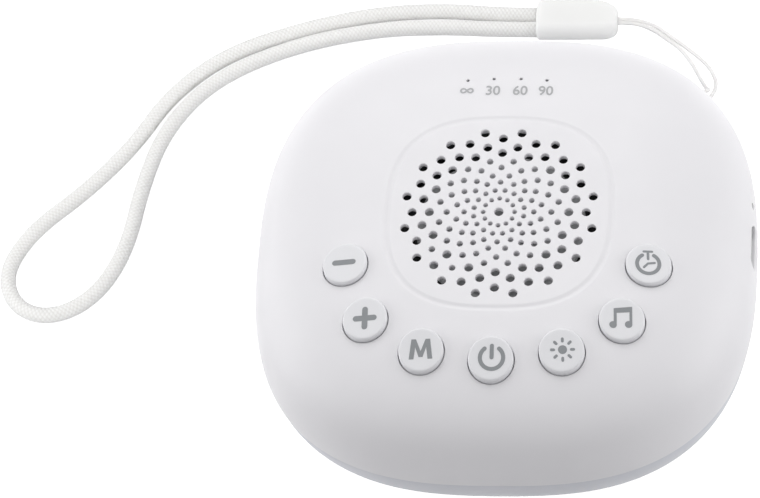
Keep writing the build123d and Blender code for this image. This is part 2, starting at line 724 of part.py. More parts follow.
def speaker_cone():
    """Shallow cone with its domed dust cap."""
    z = flange_top
    thick = CONE_THICK
    low = z - CONE_DEPTH
    shoulder = COIL_RADIUS * DUST_CAP_SHARE
    rise = low + DUST_CAP_RISE
    peak = rise + thick
    return spun([(cone_radius, z), (cone_radius, z + thick), (COIL_RADIUS + thick, low + thick),
                 (shoulder, rise), (0, peak), (0, rise), (shoulder, rise - thick), (COIL_RADIUS, low)])


def voice_coil():
    """Thin former and winding glued under the cone."""
    high = flange_top - CONE_DEPTH
    return tube(0, GRILLE_BACK, COIL_RADIUS + COIL_WALL, COIL_RADIUS - CLOSE_GAP, high - COIL_LENGTH, high)


def magnet_parts():
    """Top plate, ring magnet and back plate with its pole, from the basket down."""
    x, y = 0, GRILLE_BACK
    hole = COIL_RADIUS + COIL_WALL + COIL_GAP
    magnet_top = basket_foot - TOP_PLATE_THICK
    back_top = battery_top + MAGNET_ROOM + BACK_PLATE_THICK
    top_plate = tube(x, y, MAGNET_RADIUS - PLATE_STEP, hole, magnet_top, basket_foot)
    magnet = tube(x, y, MAGNET_RADIUS, hole + PLATE_STEP, back_top, magnet_top)
    back = rod(x, y, MAGNET_RADIUS - PLATE_STEP, back_top - BACK_PLATE_THICK, back_top)
    pole = rod(x, y, POLE_RADIUS, back_top, basket_foot)
    return top_plate, magnet, back + pole


def speaker_gasket():
    """Tall foam ring between the basket's flange and the underside of the grille."""
    return tube(0, GRILLE_BACK, gasket_outer, gasket_inner, flange_top, ceiling_z)


def speaker_retainer():
    """Clamping ring with its screw ears."""
    low = flange_foot - RETAINER_THICK
    outer = chamber_outer
    ring = rod(0, GRILLE_BACK, outer, low, flange_foot)
    ear_width = 2 * (RETAINER_BOSS_RADIUS + EAR_RIM)
    ear = SlotCenterToCenter(RETAINER_BOSS_REACH - outer, ear_width)
    ear = Pos((outer + RETAINER_BOSS_REACH) / 2) * extrude(ear, RETAINER_THICK)
    ears = [Pos(0, GRILLE_BACK, low) * Rot(0, 0, angle) * ear for angle in RETAINER_ANGLES]
    ring = ring.fuse(*ears)
    cuts = [rod(0, GRILLE_BACK, outer - RETAINER_WIDTH, low - SPARE, flange_foot + SPARE)]
    for angle in RETAINER_ANGLES:
        x, y = polar(angle, RETAINER_BOSS_REACH, 0.0, GRILLE_BACK)
        cuts.append(rod(x, y, SMALL_SCREW["shank"] + RUNNING_GAP, low - SPARE, flange_foot + SPARE))
    return ring.cut(*cuts)


# ---------------------------------------------------------------- battery and night light
def battery_pad():
    """Sticky foam sheet between the tray's floor and the cell."""
    length, width, _ = BATTERY
    return block((length - 2 * PAD_INSET, width - 2 * PAD_INSET, BATTERY_PAD_THICK), 0, 0, floor_z)


def battery_cell():
    """Lithium pouch cell with rounded long edges and a taped end."""
    cell = block(BATTERY, 0, 0, floor_z + BATTERY_PAD_THICK)
    return fillet(cell.edges().filter_by(Axis.Y), BATTERY_EDGE)


def light_board():
    """Rounded-square ring board that carries the night-light lamps."""
    low = light_board_z
    high = low + LIGHT_BOARD_THICK
    window = light_board_half - LIGHT_BOARD_BAND
    board = prism(light_board_half, low, high) - prism(window, low - SPARE, high + SPARE)
    cuts = [rod(x, y, POST_RADIUS + 2 * POST_GAP, low - SPARE, high + SPARE) for x, y in case_posts]
    shank = SMALL_SCREW["shank"] + RUNNING_GAP
    cuts += [rod(x, y, shank, low - SPARE, high + SPARE) for x, y in light_bosses()]
    return board.cut(*cuts)


def night_lamps():
    """Side-looking lamps spaced round the light board."""
    lamps = []
    low = light_board_z + LIGHT_BOARD_THICK
    for step in range(LIGHT_COUNT):
        angle = 360 * (step + 0.5) / LIGHT_COUNT
        reach = (light_board_half - LAMP_INSET) * outline_reach(radians(angle))
        x, y = polar(angle, reach)
        lamps.append(Pos(x, y, low + LIGHT_LAMP[2] / 2) * Rot(0, 0, angle) * Box(*LIGHT_LAMP))
    return lamps


# ---------------------------------------------------------------- strap
def corner_radii(points):
    """Radius of the arc at each inner point: a share of the shorter run over tan(half turn)."""
    radii = []
    for before, here, after in zip(points, points[1:], points[2:]):
        run_in = here - before
        run_out = after - here
        turn = run_in.get_angle(run_out)
        radii.append(ARC_SHARE * min(run_in.length, run_out.length) / tan(radians(turn / 2)))
    return radii


def cord(name, points, diameter):
    """Plain tube along straight runs joined by tangent arcs."""
    radii = corner_radii(points)
    path = FilletPolyline(*points, radius=radii)
    section = Plane(origin=path @ 0, z_dir=path % 0) * Circle(diameter / 2)
    solid = sweep(section, path=path)
    print(name, "length", round(path.length, 1), "radii", [round(radius, 1) for radius in radii])
    print(name, "volume share", round(solid.volume / (pi * diameter ** 2 / 4 * path.length), 4))
    return solid


def strap_points():
    """Route of the braided loop on the table, from the sleeve and back to it."""
    x, y = SLEEVE_START
    height = STRAP_DIAMETER / 2 + CLOSE_GAP
    high = y + STRAP_SPREAD / 2
    low = y - STRAP_SPREAD / 2
    route = [(x, high), (x - SLEEVE_RUN, high), *STRAP_ROUTE, (x - SLEEVE_RUN, low), (x, low)]
    return [Vector(px, py, height) for px, py in route]


def string_points():
    """Route of the thin loop: sleeve, table, up to the anchor pin and back."""
    x, y = SLEEVE_START
    sleeve_end = x + SLEEVE_SIZE[0]
    high = y + STRING_SPREAD / 2
    low = y - STRING_SPREAD / 2
    mid = SLEEVE_SIZE[2] / 2
    turn = ANCHOR_PIN_RADIUS + STRING_DIAMETER / 2 + CLOSE_GAP
    behind = -ANCHOR_PIN_INSET - turn
    go = [Vector(sleeve_end, high, mid), *[Vector(*point) for point in STRING_GO]]
    local = [*STRING_IN, (-turn, behind), (turn, behind), *STRING_OUT]
    pin = [anchor.from_local_coords((side, 0, depth)) for side, depth in local]
    come = [*[Vector(*point) for point in STRING_COME], Vector(sleeve_end, low, mid)]
    return [*go, *pin, *come]


def strap_sleeve():
    """Moulded sleeve that joins the braided loop to the thin string."""
    length, width, height = SLEEVE_SIZE
    x, y = SLEEVE_START
    body = block(SLEEVE_SIZE, x + length / 2, y, 0.0)
    return fillet(body.edges(), SLEEVE_EDGE)


# ---------------------------------------------------------------- all pieces
def main():
    """Builds every piece and writes one file for each."""
    os.makedirs("parts", exist_ok=True)
    parts = {"upper_shell": upper_shell(), "light_ring": light_ring(), "lower_shell": lower_shell()}
    for name, (x, y) in buttons.items():
        parts[name] = button(x, y)
        parts[name.replace("button", "plunger")] = plunger(x, y)
    parts["tact_switches"] = Compound(children=[switch_body(x, y) for x, y in buttons.values()])
    parts["main_board"] = main_board()
    parts["board_screws"] = screws(board_bosses, board_foot, SMALL_SCREW)
    parts["sound_chip"] = chip(SOUND_CHIP, SOUND_CHIP_PLACE)
    parts["amplifier_chip"] = chip(AMPLIFIER_CHIP, AMPLIFIER_CHIP_PLACE)
    parts["capacitors"] = Compound(children=capacitors())
    lamps = [block(LED_SIZE, x, y, board_top) for x, y in timer_lights]
    parts["timer_lamps"] = Compound(children=lamps)
    parts["timer_light_guide"] = light_guide()
    parts["usb_shell"] = usb_shell()
    parts["usb_tongue"] = usb_tongue()
    parts["charge_lamp"] = charge_light()
    parts["speaker_frame"] = speaker_frame()
    parts["speaker_surround"] = speaker_surround()
    parts["speaker_cone"] = speaker_cone()
    parts["voice_coil"] = voice_coil()
    top_plate, magnet, back_plate = magnet_parts()
    parts["magnet_top_plate"] = top_plate
    parts["speaker_magnet"] = magnet
    parts["magnet_back_plate"] = back_plate
    parts["speaker_gasket"] = speaker_gasket()
    parts["speaker_retainer"] = speaker_retainer()
    seat = flange_foot - RETAINER_THICK
    ears = [polar(angle, RETAINER_BOSS_REACH, 0.0, GRILLE_BACK) for angle in RETAINER_ANGLES]
    parts["retainer_screws"] = screws(ears, seat, SMALL_SCREW)
    parts["battery_pad"] = battery_pad()
    parts["battery_cell"] = battery_cell()
    parts["night_light_board"] = light_board()
    parts["night_lamps"] = Compound(children=night_lamps())
    light_top = light_board_z + LIGHT_BOARD_THICK
    parts["light_board_screws"] = screws(light_bosses(), light_top, SMALL_SCREW, -1)
    parts["case_screws"] = screws(case_posts, base_z + HEAD_RECESS, CASE_SCREW)
    parts["rubber_feet"] = rubber_feet()
    parts["strap_cord"] = cord("strap_cord", strap_points(), STRAP_DIAMETER)
    parts["strap_string"] = cord("strap_string", string_points(), STRING_DIAMETER)
    parts["strap_sleeve"] = strap_sleeve()
    for name, shape in parts.items():
        export_step(shape, f"parts/{name}.step")


main()
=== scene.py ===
"""White noise sound machine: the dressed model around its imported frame."""

import logging
from dataclasses import dataclass, field
from enum import Enum
from math import atan2, cos, floor, pi, radians, sin, sqrt
from typing import Callable

import bmesh
import bpy
from mathutils import Matrix, Vector


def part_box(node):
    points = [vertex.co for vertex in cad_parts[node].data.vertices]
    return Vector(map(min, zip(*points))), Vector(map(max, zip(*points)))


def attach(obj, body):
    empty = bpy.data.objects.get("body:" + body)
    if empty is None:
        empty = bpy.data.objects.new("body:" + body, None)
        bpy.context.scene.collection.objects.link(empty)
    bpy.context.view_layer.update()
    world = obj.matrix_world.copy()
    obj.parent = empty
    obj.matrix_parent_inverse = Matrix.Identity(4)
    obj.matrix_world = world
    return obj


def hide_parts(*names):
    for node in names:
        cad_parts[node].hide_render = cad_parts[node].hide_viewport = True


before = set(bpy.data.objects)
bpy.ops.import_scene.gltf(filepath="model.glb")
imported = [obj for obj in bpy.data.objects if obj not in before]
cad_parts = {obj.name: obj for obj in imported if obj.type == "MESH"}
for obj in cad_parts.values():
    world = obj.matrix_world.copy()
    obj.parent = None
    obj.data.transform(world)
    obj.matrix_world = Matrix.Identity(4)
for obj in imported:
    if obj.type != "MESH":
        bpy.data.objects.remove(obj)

# Sizes in this file are in millimetres and angles in degrees, unless a comment says otherwise.
MM = 0.001
SMOOTH_ANGLE = 32.0
ROUNDED_ANGLE = 40.0
PLATE_ANGLE = 30.0
MERGE_REACH = 0.002
LETTER_MERGE_REACH = 0.001
LETTER_RESOLUTION = 6
# A flare goes on outwards and upwards past the skin by this many times its reach at the skin.
FLARE_RISE = 3
ROUTE_RESOLUTION = 32
ROUTE_ORDER = 3
LOG = logging.getLogger("sound_machine")
Pair = tuple[float, float]
Triple = tuple[float, float, float]
Point = tuple[float, float]
Arc = tuple[float, float, float, float]
Outline = list[Point]


# ------------------------------------------------------------------ colours and nodes
def linear(colour: str) -> tuple[float, float, float, float]:
    """Turns an sRGB hex colour into linear red, green, blue and alpha.

    Args:
        colour: six hex digits after a hash sign.

    Returns:
        The linear colour with an alpha of 1.
    """
    channels = []
    for start in (1, 3, 5):
        value = int(colour[start:start + 2], 16) / 255
        channels.append(value / 12.92 if value <= 0.04045 else ((value + 0.055) / 1.055) ** 2.4)
    return channels[0], channels[1], channels[2], 1.0


def add_node(tree: bpy.types.NodeTree, kind: str, inputs: dict | None = None,
             **settings: object) -> bpy.types.Node:
    """Adds one shader node.

    Args:
        tree: the node tree it goes into.
        kind: the node's type name, such as ShaderNodeBump.
        inputs: by socket name, either a value or the output socket to link from.
        settings: the node's own properties.

    Returns:
        The new node.
    """
    node = tree.nodes.new(kind)
    for name, value in settings.items():
        setattr(node, name, value)
    for name, value in (inputs or {}).items():
        socket = node.inputs[name]
        if isinstance(value, bpy.types.NodeSocket):
            tree.links.new(value, socket)
        else:
            socket.default_value = value
    return node


def waves_per_metre(size_mm: float) -> float:
    """Texture scale at which one feature measures size_mm."""
    return 1 / (size_mm * MM)


# ------------------------------------------------------------------ finishes
@dataclass(frozen=True)
class Finish:
    """A moulded, pressed, cast or coated surface with its own fine grain."""

    name: str
    slot: str
    colour: str
    shade: str
    roughness: float = 0.5
    metallic: float = 0.0
    ior: float | None = None
    grain_mm: float = 0.35
    grain_depth_mm: float = 0.006
    mottle_mm: float = 9.0
    gloss_change: float = 0.06
    subsurface: float = 0.0
    depth_mm: float = 1.0
    coat: float = 0.0
    sheen: float = 0.0

    def material(self) -> bpy.types.Material:
        """Builds the material once and gives the same one after that.

        Returns:
            The material.
        """
        found = bpy.data.materials.get(self.name)
        if found:
            return found
        material = bpy.data.materials.new(self.name)
        material.use_nodes = True
        tree = material.node_tree
        shader = tree.nodes["Principled BSDF"]
        self.set_uniform(shader)
        self.draw_pattern(tree, shader)
        return material

    def set_uniform(self, shader: bpy.types.Node) -> None:
        """Writes the values that are the same all over onto the shader's sockets.

        Args:
            shader: the material's principled shader.
        """
        shader.inputs["Metallic"].default_value = self.metallic
        shader.inputs["Coat Weight"].default_value = self.coat
        shader.inputs["Sheen Weight"].default_value = self.sheen
        shader.inputs["Subsurface Weight"].default_value = self.subsurface
        shader.inputs["Subsurface Radius"].default_value = (1.0, 1.0, 1.0)
        shader.inputs["Subsurface Scale"].default_value = self.depth_mm * MM
        if self.ior is not None:
            shader.inputs["IOR"].default_value = self.ior

    def draw_pattern(self, tree: bpy.types.NodeTree, shader: bpy.types.Node) -> None:
        """Draws slow mottling, a matching change of gloss, and fine grain.

        Args:
            tree: the material's node tree.
            shader: its principled shader.
        """
        place = add_node(tree, "ShaderNodeTexCoord").outputs["Object"]
        mottle = add_node(tree, "ShaderNodeTexNoise",
                          {"Vector": place, "Scale": waves_per_metre(self.mottle_mm), "Detail": 3.0})
        tree.links.new(self.mix_colours(tree, mottle.outputs[0]), shader.inputs["Base Color"])
        gloss = add_node(tree, "ShaderNodeMapRange",
                         {"Value": mottle.outputs[0], "To Min": self.roughness - self.gloss_change,
                          "To Max": self.roughness + self.gloss_change})
        tree.links.new(gloss.outputs["Result"], shader.inputs["Roughness"])
        grain = add_node(tree, "ShaderNodeTexNoise",
                         {"Vector": place, "Scale": waves_per_metre(self.grain_mm), "Detail": 2.0})
        bump = add_node(tree, "ShaderNodeBump",
                        {"Height": grain.outputs[0], "Strength": 1.0, "Distance": self.grain_depth_mm * MM})
        tree.links.new(bump.outputs["Normal"], shader.inputs["Normal"])

    def mix_colours(self, tree: bpy.types.NodeTree, share: bpy.types.NodeSocket) -> bpy.types.NodeSocket:
        """Mixes the colour with its shade.

        Args:
            tree: the material's node tree.
            share: socket that gives the shade's share, from 0 to 1.

        Returns:
            The socket of the mixed colour.
        """
        mix = add_node(tree, "ShaderNodeMixRGB",
                       {"Fac": share, "Color1": linear(self.colour), "Color2": linear(self.shade)})
        return mix.outputs["Color"]


@dataclass(frozen=True)
class BraidFinish(Finish):
    """Braided yarn: fibres run along each yarn, and the valleys between yarns carry painted shade."""

    fibres_per_yarn: float = 5.0

    def draw_pattern(self, tree: bpy.types.NodeTree, shader: bpy.types.Node) -> None:
        """Paints shade into the valleys from the yarn height, and draws the fibres from the braid's own
        coordinates.

        Args:
            tree: the material's node tree.
            shader: its principled shader.
        """
        height = add_node(tree, "ShaderNodeAttribute", attribute_name="yarn_height")
        # Painted shade: where the yarn height is low, in the valleys, the first and darker colour is used;
        # the tops take the second.
        colour = self.mix_colours(tree, height.outputs["Fac"])
        tree.links.new(colour, shader.inputs["Base Color"])
        shader.inputs["Roughness"].default_value = self.roughness
        across = add_node(tree, "ShaderNodeAttribute", attribute_name="across_yarn")
        fibres = add_node(tree, "ShaderNodeMath",
                          {0: across.outputs["Fac"], 1: 2 * pi * self.fibres_per_yarn}, operation="MULTIPLY")
        ripple = add_node(tree, "ShaderNodeMath", {0: fibres.outputs["Value"]}, operation="SINE")
        bump = add_node(tree, "ShaderNodeBump",
                        {"Height": ripple.outputs["Value"], "Strength": 1.0,
                         "Distance": self.grain_depth_mm * MM})
        tree.links.new(bump.outputs["Normal"], shader.inputs["Normal"])


# Moulded white ABS with a fine spark-eroded grain: soft, even, hardly any gloss.
SHELL_ABS = Finish("white ABS, fine satin moulded", "shell_abs", "#EAE9EC", "#E7E6E9", roughness=0.46,
                   ior=1.53, grain_mm=0.45, grain_depth_mm=0.004, subsurface=0.5, depth_mm=1.2)
# The same plastic from a smoother tool: the caps catch a slightly sharper light.
BUTTON_ABS = Finish("white ABS, smooth moulded caps", "button_abs", "#E5E5E8", "#E2E2E5", roughness=0.38,
                    ior=1.53, grain_mm=0.6, grain_depth_mm=0.002, subsurface=0.2, depth_mm=0.7)
# Base tray in the same white, a touch duller.
BASE_ABS = Finish("white ABS, satin moulded tray", "base_abs", "#E6E6E8", "#E2E2E5", roughness=0.5, ior=1.53,
                  grain_mm=0.5, grain_depth_mm=0.006)
# Milky polycarbonate: cool white, light sinks a little way in.
DIFFUSER = Finish("opal polycarbonate diffuser", "ring_diffuser", "#D4D5DC", "#CED0D8", roughness=0.42,
                  ior=1.58, grain_mm=0.5, grain_depth_mm=0.003, subsurface=0.35, depth_mm=1.5)
# Grey pad-printing ink: thin, even and dull.
SYMBOL_INK = Finish("grey pad-printing ink", "button_abs", "#8E9194", "#898C8F", roughness=0.6,
                    grain_mm=0.3, grain_depth_mm=0.002, mottle_mm=1.5)
LABEL_INK = Finish("pale grey pad-printing ink", "shell_abs", "#B0B1B3", "#ACADAF", roughness=0.6,
                   grain_mm=0.3, grain_depth_mm=0.002, mottle_mm=1.5)
# Silicone rubber feet: pale grey, matt, slightly dusty.
FOOT_RUBBER = Finish("grey silicone rubber", "rubber_feet", "#B9B9B7", "#ADADAB", roughness=0.75, ior=1.41,
                     grain_mm=0.3, grain_depth_mm=0.01, mottle_mm=3.0)
# Zinc-plated steel screws: bright with a faint blotchy passivation.
SCREW_STEEL = Finish("zinc-plated steel", "steel_screw", "#BFC1BF", "#A9ABA6", roughness=0.34, metallic=1.0,
                     grain_mm=0.2, grain_depth_mm=0.004, mottle_mm=1.2, gloss_change=0.1)
# Folded stainless steel of the charging socket.
SOCKET_STEEL = Finish("folded stainless steel", "socket_steel", "#D4D5D6", "#C8C9CB", roughness=0.38,
                      metallic=1.0, grain_mm=0.15, grain_depth_mm=0.002, mottle_mm=2.0)
SOCKET_TONGUE = Finish("black liquid-crystal polymer", "socket_tongue", "#202022", "#1A1A1C", roughness=0.55,
                       grain_mm=0.2, grain_depth_mm=0.003)
# Black speaker parts: pressed and coated steel, rubber edge, foam and ferrite.
BASKET_COAT = Finish("black-coated pressed steel", "basket_steel", "#3C3C3E", "#343436", roughness=0.45,
                     grain_mm=0.3, grain_depth_mm=0.006)
SURROUND_RUBBER = Finish("black butyl rubber", "surround_rubber", "#3A3A3C", "#333335", roughness=0.6,
                         ior=1.52, grain_mm=0.4, grain_depth_mm=0.01)
FOAM = Finish("black closed-cell foam", "foam_black", "#343436", "#2A2A2C", roughness=0.95,
              grain_mm=0.5, grain_depth_mm=0.08, mottle_mm=1.0)
FERRITE = Finish("sintered ferrite", "ferrite", "#303032", "#262628", roughness=0.7,
                 grain_mm=0.25, grain_depth_mm=0.02, mottle_mm=2.0)
# Grey polypropylene cone: a faint sheen that glints through a few of the holes.
CONE = Finish("grey polypropylene cone", "cone_grey", "#BEBFC1", "#B5B6B8", roughness=0.32, ior=1.49,
              grain_mm=0.8, grain_depth_mm=0.02, mottle_mm=3.0)
COPPER = Finish("enamelled copper wire", "coil_copper", "#C77B4A", "#B86A3C", roughness=0.3, metallic=1.0,
                grain_mm=0.2, grain_depth_mm=0.03, mottle_mm=1.0)
RETAINER = Finish("black moulded ABS", "retainer_abs", "#2B2B2D", "#252527", roughness=0.5)
# Circuit parts.
BOARD = Finish("green solder mask on glass epoxy", "circuit_board", "#1F6B3E", "#1A5C35", roughness=0.35,
               ior=1.5, grain_mm=0.6, grain_depth_mm=0.01, mottle_mm=4.0, coat=0.3)
SWITCH_NYLON = Finish("black nylon switch housing", "switch_housing", "#2A2A2C", "#242426", roughness=0.55)
PLUNGER_NYLON = Finish("black nylon plunger", "switch_plunger_nylon", "#1E1E20", "#19191B", roughness=0.5)
CHIP_EPOXY = Finish("black epoxy chip package", "chip_epoxy", "#232325", "#1D1D1F", roughness=0.6,
                    grain_mm=0.2, grain_depth_mm=0.008)
CAN = Finish("sleeved aluminium can", "capacitor_can", "#C9CCD0", "#B9BCC1", roughness=0.3, metallic=1.0,
             grain_mm=0.3, grain_depth_mm=0.003)
LAMP = Finish("clear epoxy lamp", "lamp_epoxy", "#F3EEDC", "#EFE8D0", roughness=0.12, ior=1.54,
              grain_mm=0.4, grain_depth_mm=0.002, coat=0.5)
# Smoked acrylic pegs: the pinholes read as dark dots while the lamps are off.
GUIDE = Finish("smoked acrylic light guide", "clear_acrylic", "#4A4C50", "#3E4044", roughness=0.15, ior=1.49,
               grain_mm=0.5, grain_depth_mm=0.002, coat=0.4)
POUCH = Finish("aluminium-laminate battery pouch", "battery_film", "#C3C6CA", "#B0B4B9", roughness=0.28,
               metallic=0.8, grain_mm=1.5, grain_depth_mm=0.05)
# Braided polyester: soft warm white, with painted shade in the valleys between the yarns (first colour) and
# lighter tops (second colour).
STRAP_BRAID = BraidFinish("white braided polyester", "strap_braid", "#D6D4D1", "#EFEFEE", roughness=0.8,
                          grain_depth_mm=0.01, subsurface=1.0, depth_mm=2.5, sheen=0.9, fibres_per_yarn=3.0)
# The string's braid is coloured the same way: painted shade in its valleys and lighter tops.
STRING_BRAID = BraidFinish("white braided polyester string", "strap_string", "#DFDDDC", "#ECEBEA",
                           roughness=0.8, grain_depth_mm=0.005, subsurface=1.0, depth_mm=0.8, sheen=0.2,
                           fibres_per_yarn=2.0)
# Soft moulded sleeve: a rubbery white with a low, even gloss.
SLEEVE = Finish("white moulded elastomer", "strap_sleeve", "#E6E6E5", "#E4E4E3", roughness=0.55, ior=1.5,
                grain_mm=0.4, grain_depth_mm=0.005, subsurface=1.0, depth_mm=4.0)


# ------------------------------------------------------------------ working on a mesh
def deselect() -> None:
    """Leaves edit mode and selects nothing."""
    active = bpy.context.view_layer.objects.active
    if active and active.mode != "OBJECT":
        bpy.ops.object.mode_set(mode="OBJECT")
    bpy.ops.object.select_all(action="DESELECT")


def activate(piece: bpy.types.Object) -> None:
    """Makes one piece the only selected and active one.

    Args:
        piece: the piece to work on.
    """
    deselect()
    piece.select_set(True)
    bpy.context.view_layer.objects.active = piece


class Workpiece:
    """An empty mesh at the origin, held in edit mode while operators shape it."""

    def __init__(self, name: str) -> None:
        """Creates the piece and opens it for editing.

        Args:
            name: name of the piece and of its mesh.
        """
        deselect()
        self.piece = bpy.data.objects.new(name, bpy.data.meshes.new(name))
        bpy.context.scene.collection.objects.link(self.piece)
        activate(self.piece)
        bpy.ops.object.mode_set(mode="EDIT")

    def select(self, test: Callable[[Vector], bool]) -> None:
        """Selects the vertices whose place passes a test.

        Args:
            test: says whether a place, in metres, is picked.
        """
        bpy.ops.mesh.select_all(action="DESELECT")
        mesh = bmesh.from_edit_mesh(self.piece.data)
        for vertex in mesh.verts:
            vertex.select = test(vertex.co)
        mesh.select_flush(True)
        bmesh.update_edit_mesh(self.piece.data)

    def move_each(self, place: Callable[[Vector], Vector], only_selected: bool = False) -> None:
        """Moves vertices to the place that a formula gives for them.

        Args:
            place: the formula, from old place to new, in metres.
            only_selected: leaves all that isn't selected where it is.
        """
        mesh = bmesh.from_edit_mesh(self.piece.data)
        for vertex in mesh.verts:
            if vertex.select or not only_selected:
                vertex.co = place(vertex.co)
        bmesh.update_edit_mesh(self.piece.data)

    def rise(self, profile: list[Point]) -> None:
        """Extrudes the selected outline upwards or downwards along a profile.

        Args:
            profile: (half-width, height) pairs in millimetres; the outline stands at the first.
        """
        for (half, height), (next_half, next_height) in zip(profile, profile[1:]):
            share = next_half / half
            bpy.ops.mesh.extrude_edges_move()
            bpy.ops.transform.resize(value=(share, share, 1.0), center_override=(0.0, 0.0, 0.0))
            bpy.ops.transform.translate(value=(0.0, 0.0, (next_height - height) * MM))

    def cylinder(self, x: float, y: float, radius: float, low: float, high: float, sides: int) -> None:
        """Adds an upright cylinder, in millimetres."""
        bpy.ops.mesh.primitive_cylinder_add(vertices=sides, radius=radius * MM, depth=(high - low) * MM,
                                            location=(x * MM, y * MM, (low + high) / 2 * MM))

    def flare_top(self, x: float, y: float, radius: float, skin: float, reach: float) -> None:
        """Turns the top of the selected cylinder into a flare that softens a hole's edge.

        Args:
            x: place of the hole's centre across the machine.
            y: its place from front to back.
            radius: the hole's radius.
            skin: height of the skin over it.
            reach: how far the soft edge spreads at the skin.
        """
        upward = 0.9
        side_corners = 4
        mesh = bmesh.from_edit_mesh(self.piece.data)
        caps = [face for face in mesh.faces
                if face.select and face.normal.z > upward and len(face.verts) > side_corners]
        for vertex in caps[0].verts:
            vertex.co.z = (skin - reach) * MM
        bpy.ops.mesh.select_all(action="DESELECT")
        caps[0].select_set(True)
        bmesh.update_edit_mesh(self.piece.data)
        grow = (radius + FLARE_RISE * reach) / radius
        centre = (x * MM, y * MM, skin * MM)
        rise = (0.0, 0.0, FLARE_RISE * reach * MM)
        bpy.ops.mesh.extrude_region_move(TRANSFORM_OT_translate={"value": rise})
        bpy.ops.transform.resize(value=(grow, grow, 1.0), center_override=centre)

    def close(self, angle: float = SMOOTH_ANGLE) -> bpy.types.Object:
        """Merges doubles, turns the normals outwards and leaves edit mode.

        Args:
            angle: shading is smooth up to this angle between faces, in degrees.

        Returns:
            The finished piece.
        """
        bpy.ops.mesh.select_all(action="SELECT")
        bpy.ops.mesh.remove_doubles(threshold=MERGE_REACH * MM)
        bpy.ops.mesh.normals_make_consistent(inside=False)
        bpy.ops.object.mode_set(mode="OBJECT")
        bpy.ops.object.shade_smooth_by_angle(angle=radians(angle))
        return self.piece


def carve(piece: bpy.types.Object, tool: bpy.types.Object, operation: str = "DIFFERENCE") -> None:
    """Cuts a tool out of a piece, or adds it, and removes the tool.

    Args:
        piece: the mesh that is changed.
        tool: the closed mesh that cuts it or joins it.
        operation: DIFFERENCE or UNION.
    """
    activate(piece)
    modifier = piece.modifiers.new("carve", "BOOLEAN")
    modifier.operation = operation
    modifier.solver = "EXACT"
    modifier.object = tool
    bpy.ops.object.modifier_apply(modifier=modifier.name)
    mesh = tool.data
    bpy.data.objects.remove(tool)
    bpy.data.meshes.remove(mesh)


def smooth(piece: bpy.types.Object) -> None:
    """Shades a piece smooth except at its sharp edges, led by its large faces.

    Args:
        piece: the piece to shade.
    """
    activate(piece)
    bpy.ops.object.shade_smooth_by_angle(angle=radians(SMOOTH_ANGLE))
    modifier = piece.modifiers.new("weighted", "WEIGHTED_NORMAL")
    modifier.keep_sharp = True
    bpy.ops.object.modifier_apply(modifier=modifier.name)


def dress(piece: bpy.types.Object, finish: Finish, body: str, *nodes: str) -> bpy.types.Object:
    """Gives a piece its finish and its body, and hides the CAD nodes it stands for.

    Args:
        piece: the finished mesh.
        finish: its surface.
        body: the CAD body it moves with.
        nodes: the CAD nodes it replaces.

    Returns:
        The piece.
    """
    piece.data.materials.clear()
    piece.data.materials.append(finish.material())
    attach(piece, body)
    if nodes:
        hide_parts(*nodes)
    LOG.info("%s: %d faces, %s, on %s", piece.name, len(piece.data.polygons), finish.name, body)
    return piece


# ------------------------------------------------------------------ housing form
@dataclass
class HousingForm:
    """The rounded-square outline and the dome over it, in millimetres."""

    half: float = 50.7
    squareness: float = 2.7
    seam_z: float = 14.0
    dome_height: float = 20.0
    edge_power: float = 3.3
    crown_power: float = 2.55
    wall: float = 2.2
    top_wall: float = 1.6
    ceiling_z: float = 31.85
    outline_points: int = 240
    slope_step: float = 0.5

    def reach(self, angle: float) -> float:
        """Distance to the outline of half-width 1 at an angle in radians."""
        power = self.squareness
        return (abs(cos(angle)) ** power + abs(sin(angle)) ** power) ** (-1 / power)

    def share_at(self, x: float, y: float) -> float:
        """How far out a place lies, as a share of the outline."""
        power = self.squareness
        return (abs(x / self.half) ** power + abs(y / self.half) ** power) ** (1 / power)

    def dome_z(self, x: float, y: float) -> float:
        """Height of the dome's skin over a place."""
        share = min(self.share_at(x, y), 1.0)
        return self.seam_z + self.dome_height * (1 - share ** self.edge_power) ** (1 / self.crown_power)

    def dome_half(self, height_share: float) -> float:
        """Half-width of the dome at a share of its height."""
        return self.half * (1 - height_share ** self.crown_power) ** (1 / self.edge_power)

    def slope(self, x: float, y: float) -> Pair:
        """Slope of the dome at a place.

        Args:
            x: the place across the machine.
            y: the place from front to back.

        Returns:
            The slope along X and along Y.
        """
        step = self.slope_step
        along_x = (self.dome_z(x + step, y) - self.dome_z(x - step, y)) / (2 * step)
        along_y = (self.dome_z(x, y + step) - self.dome_z(x, y - step)) / (2 * step)
        return along_x, along_y

    def start_outline(self, work: Workpiece, half: float, z: float) -> None:
        """Adds a circle and draws it out to the rounded-square outline.

        Args:
            work: the piece it is added to.
            half: half-width of the outline.
            z: its height.
        """
        bpy.ops.mesh.select_all(action="DESELECT")
        bpy.ops.mesh.primitive_circle_add(vertices=self.outline_points, radius=half * MM,
                                          location=(0.0, 0.0, z * MM))

        def to_outline(place: Vector) -> Vector:
            """Moves a point of the circle out to the outline.

            Args:
                place: the point on the circle.

            Returns:
                Its place on the outline.
            """
            angle = atan2(place.y, place.x)
            reach = half * MM * self.reach(angle)
            return Vector((reach * cos(angle), reach * sin(angle), place.z))

        work.move_each(to_outline, only_selected=True)


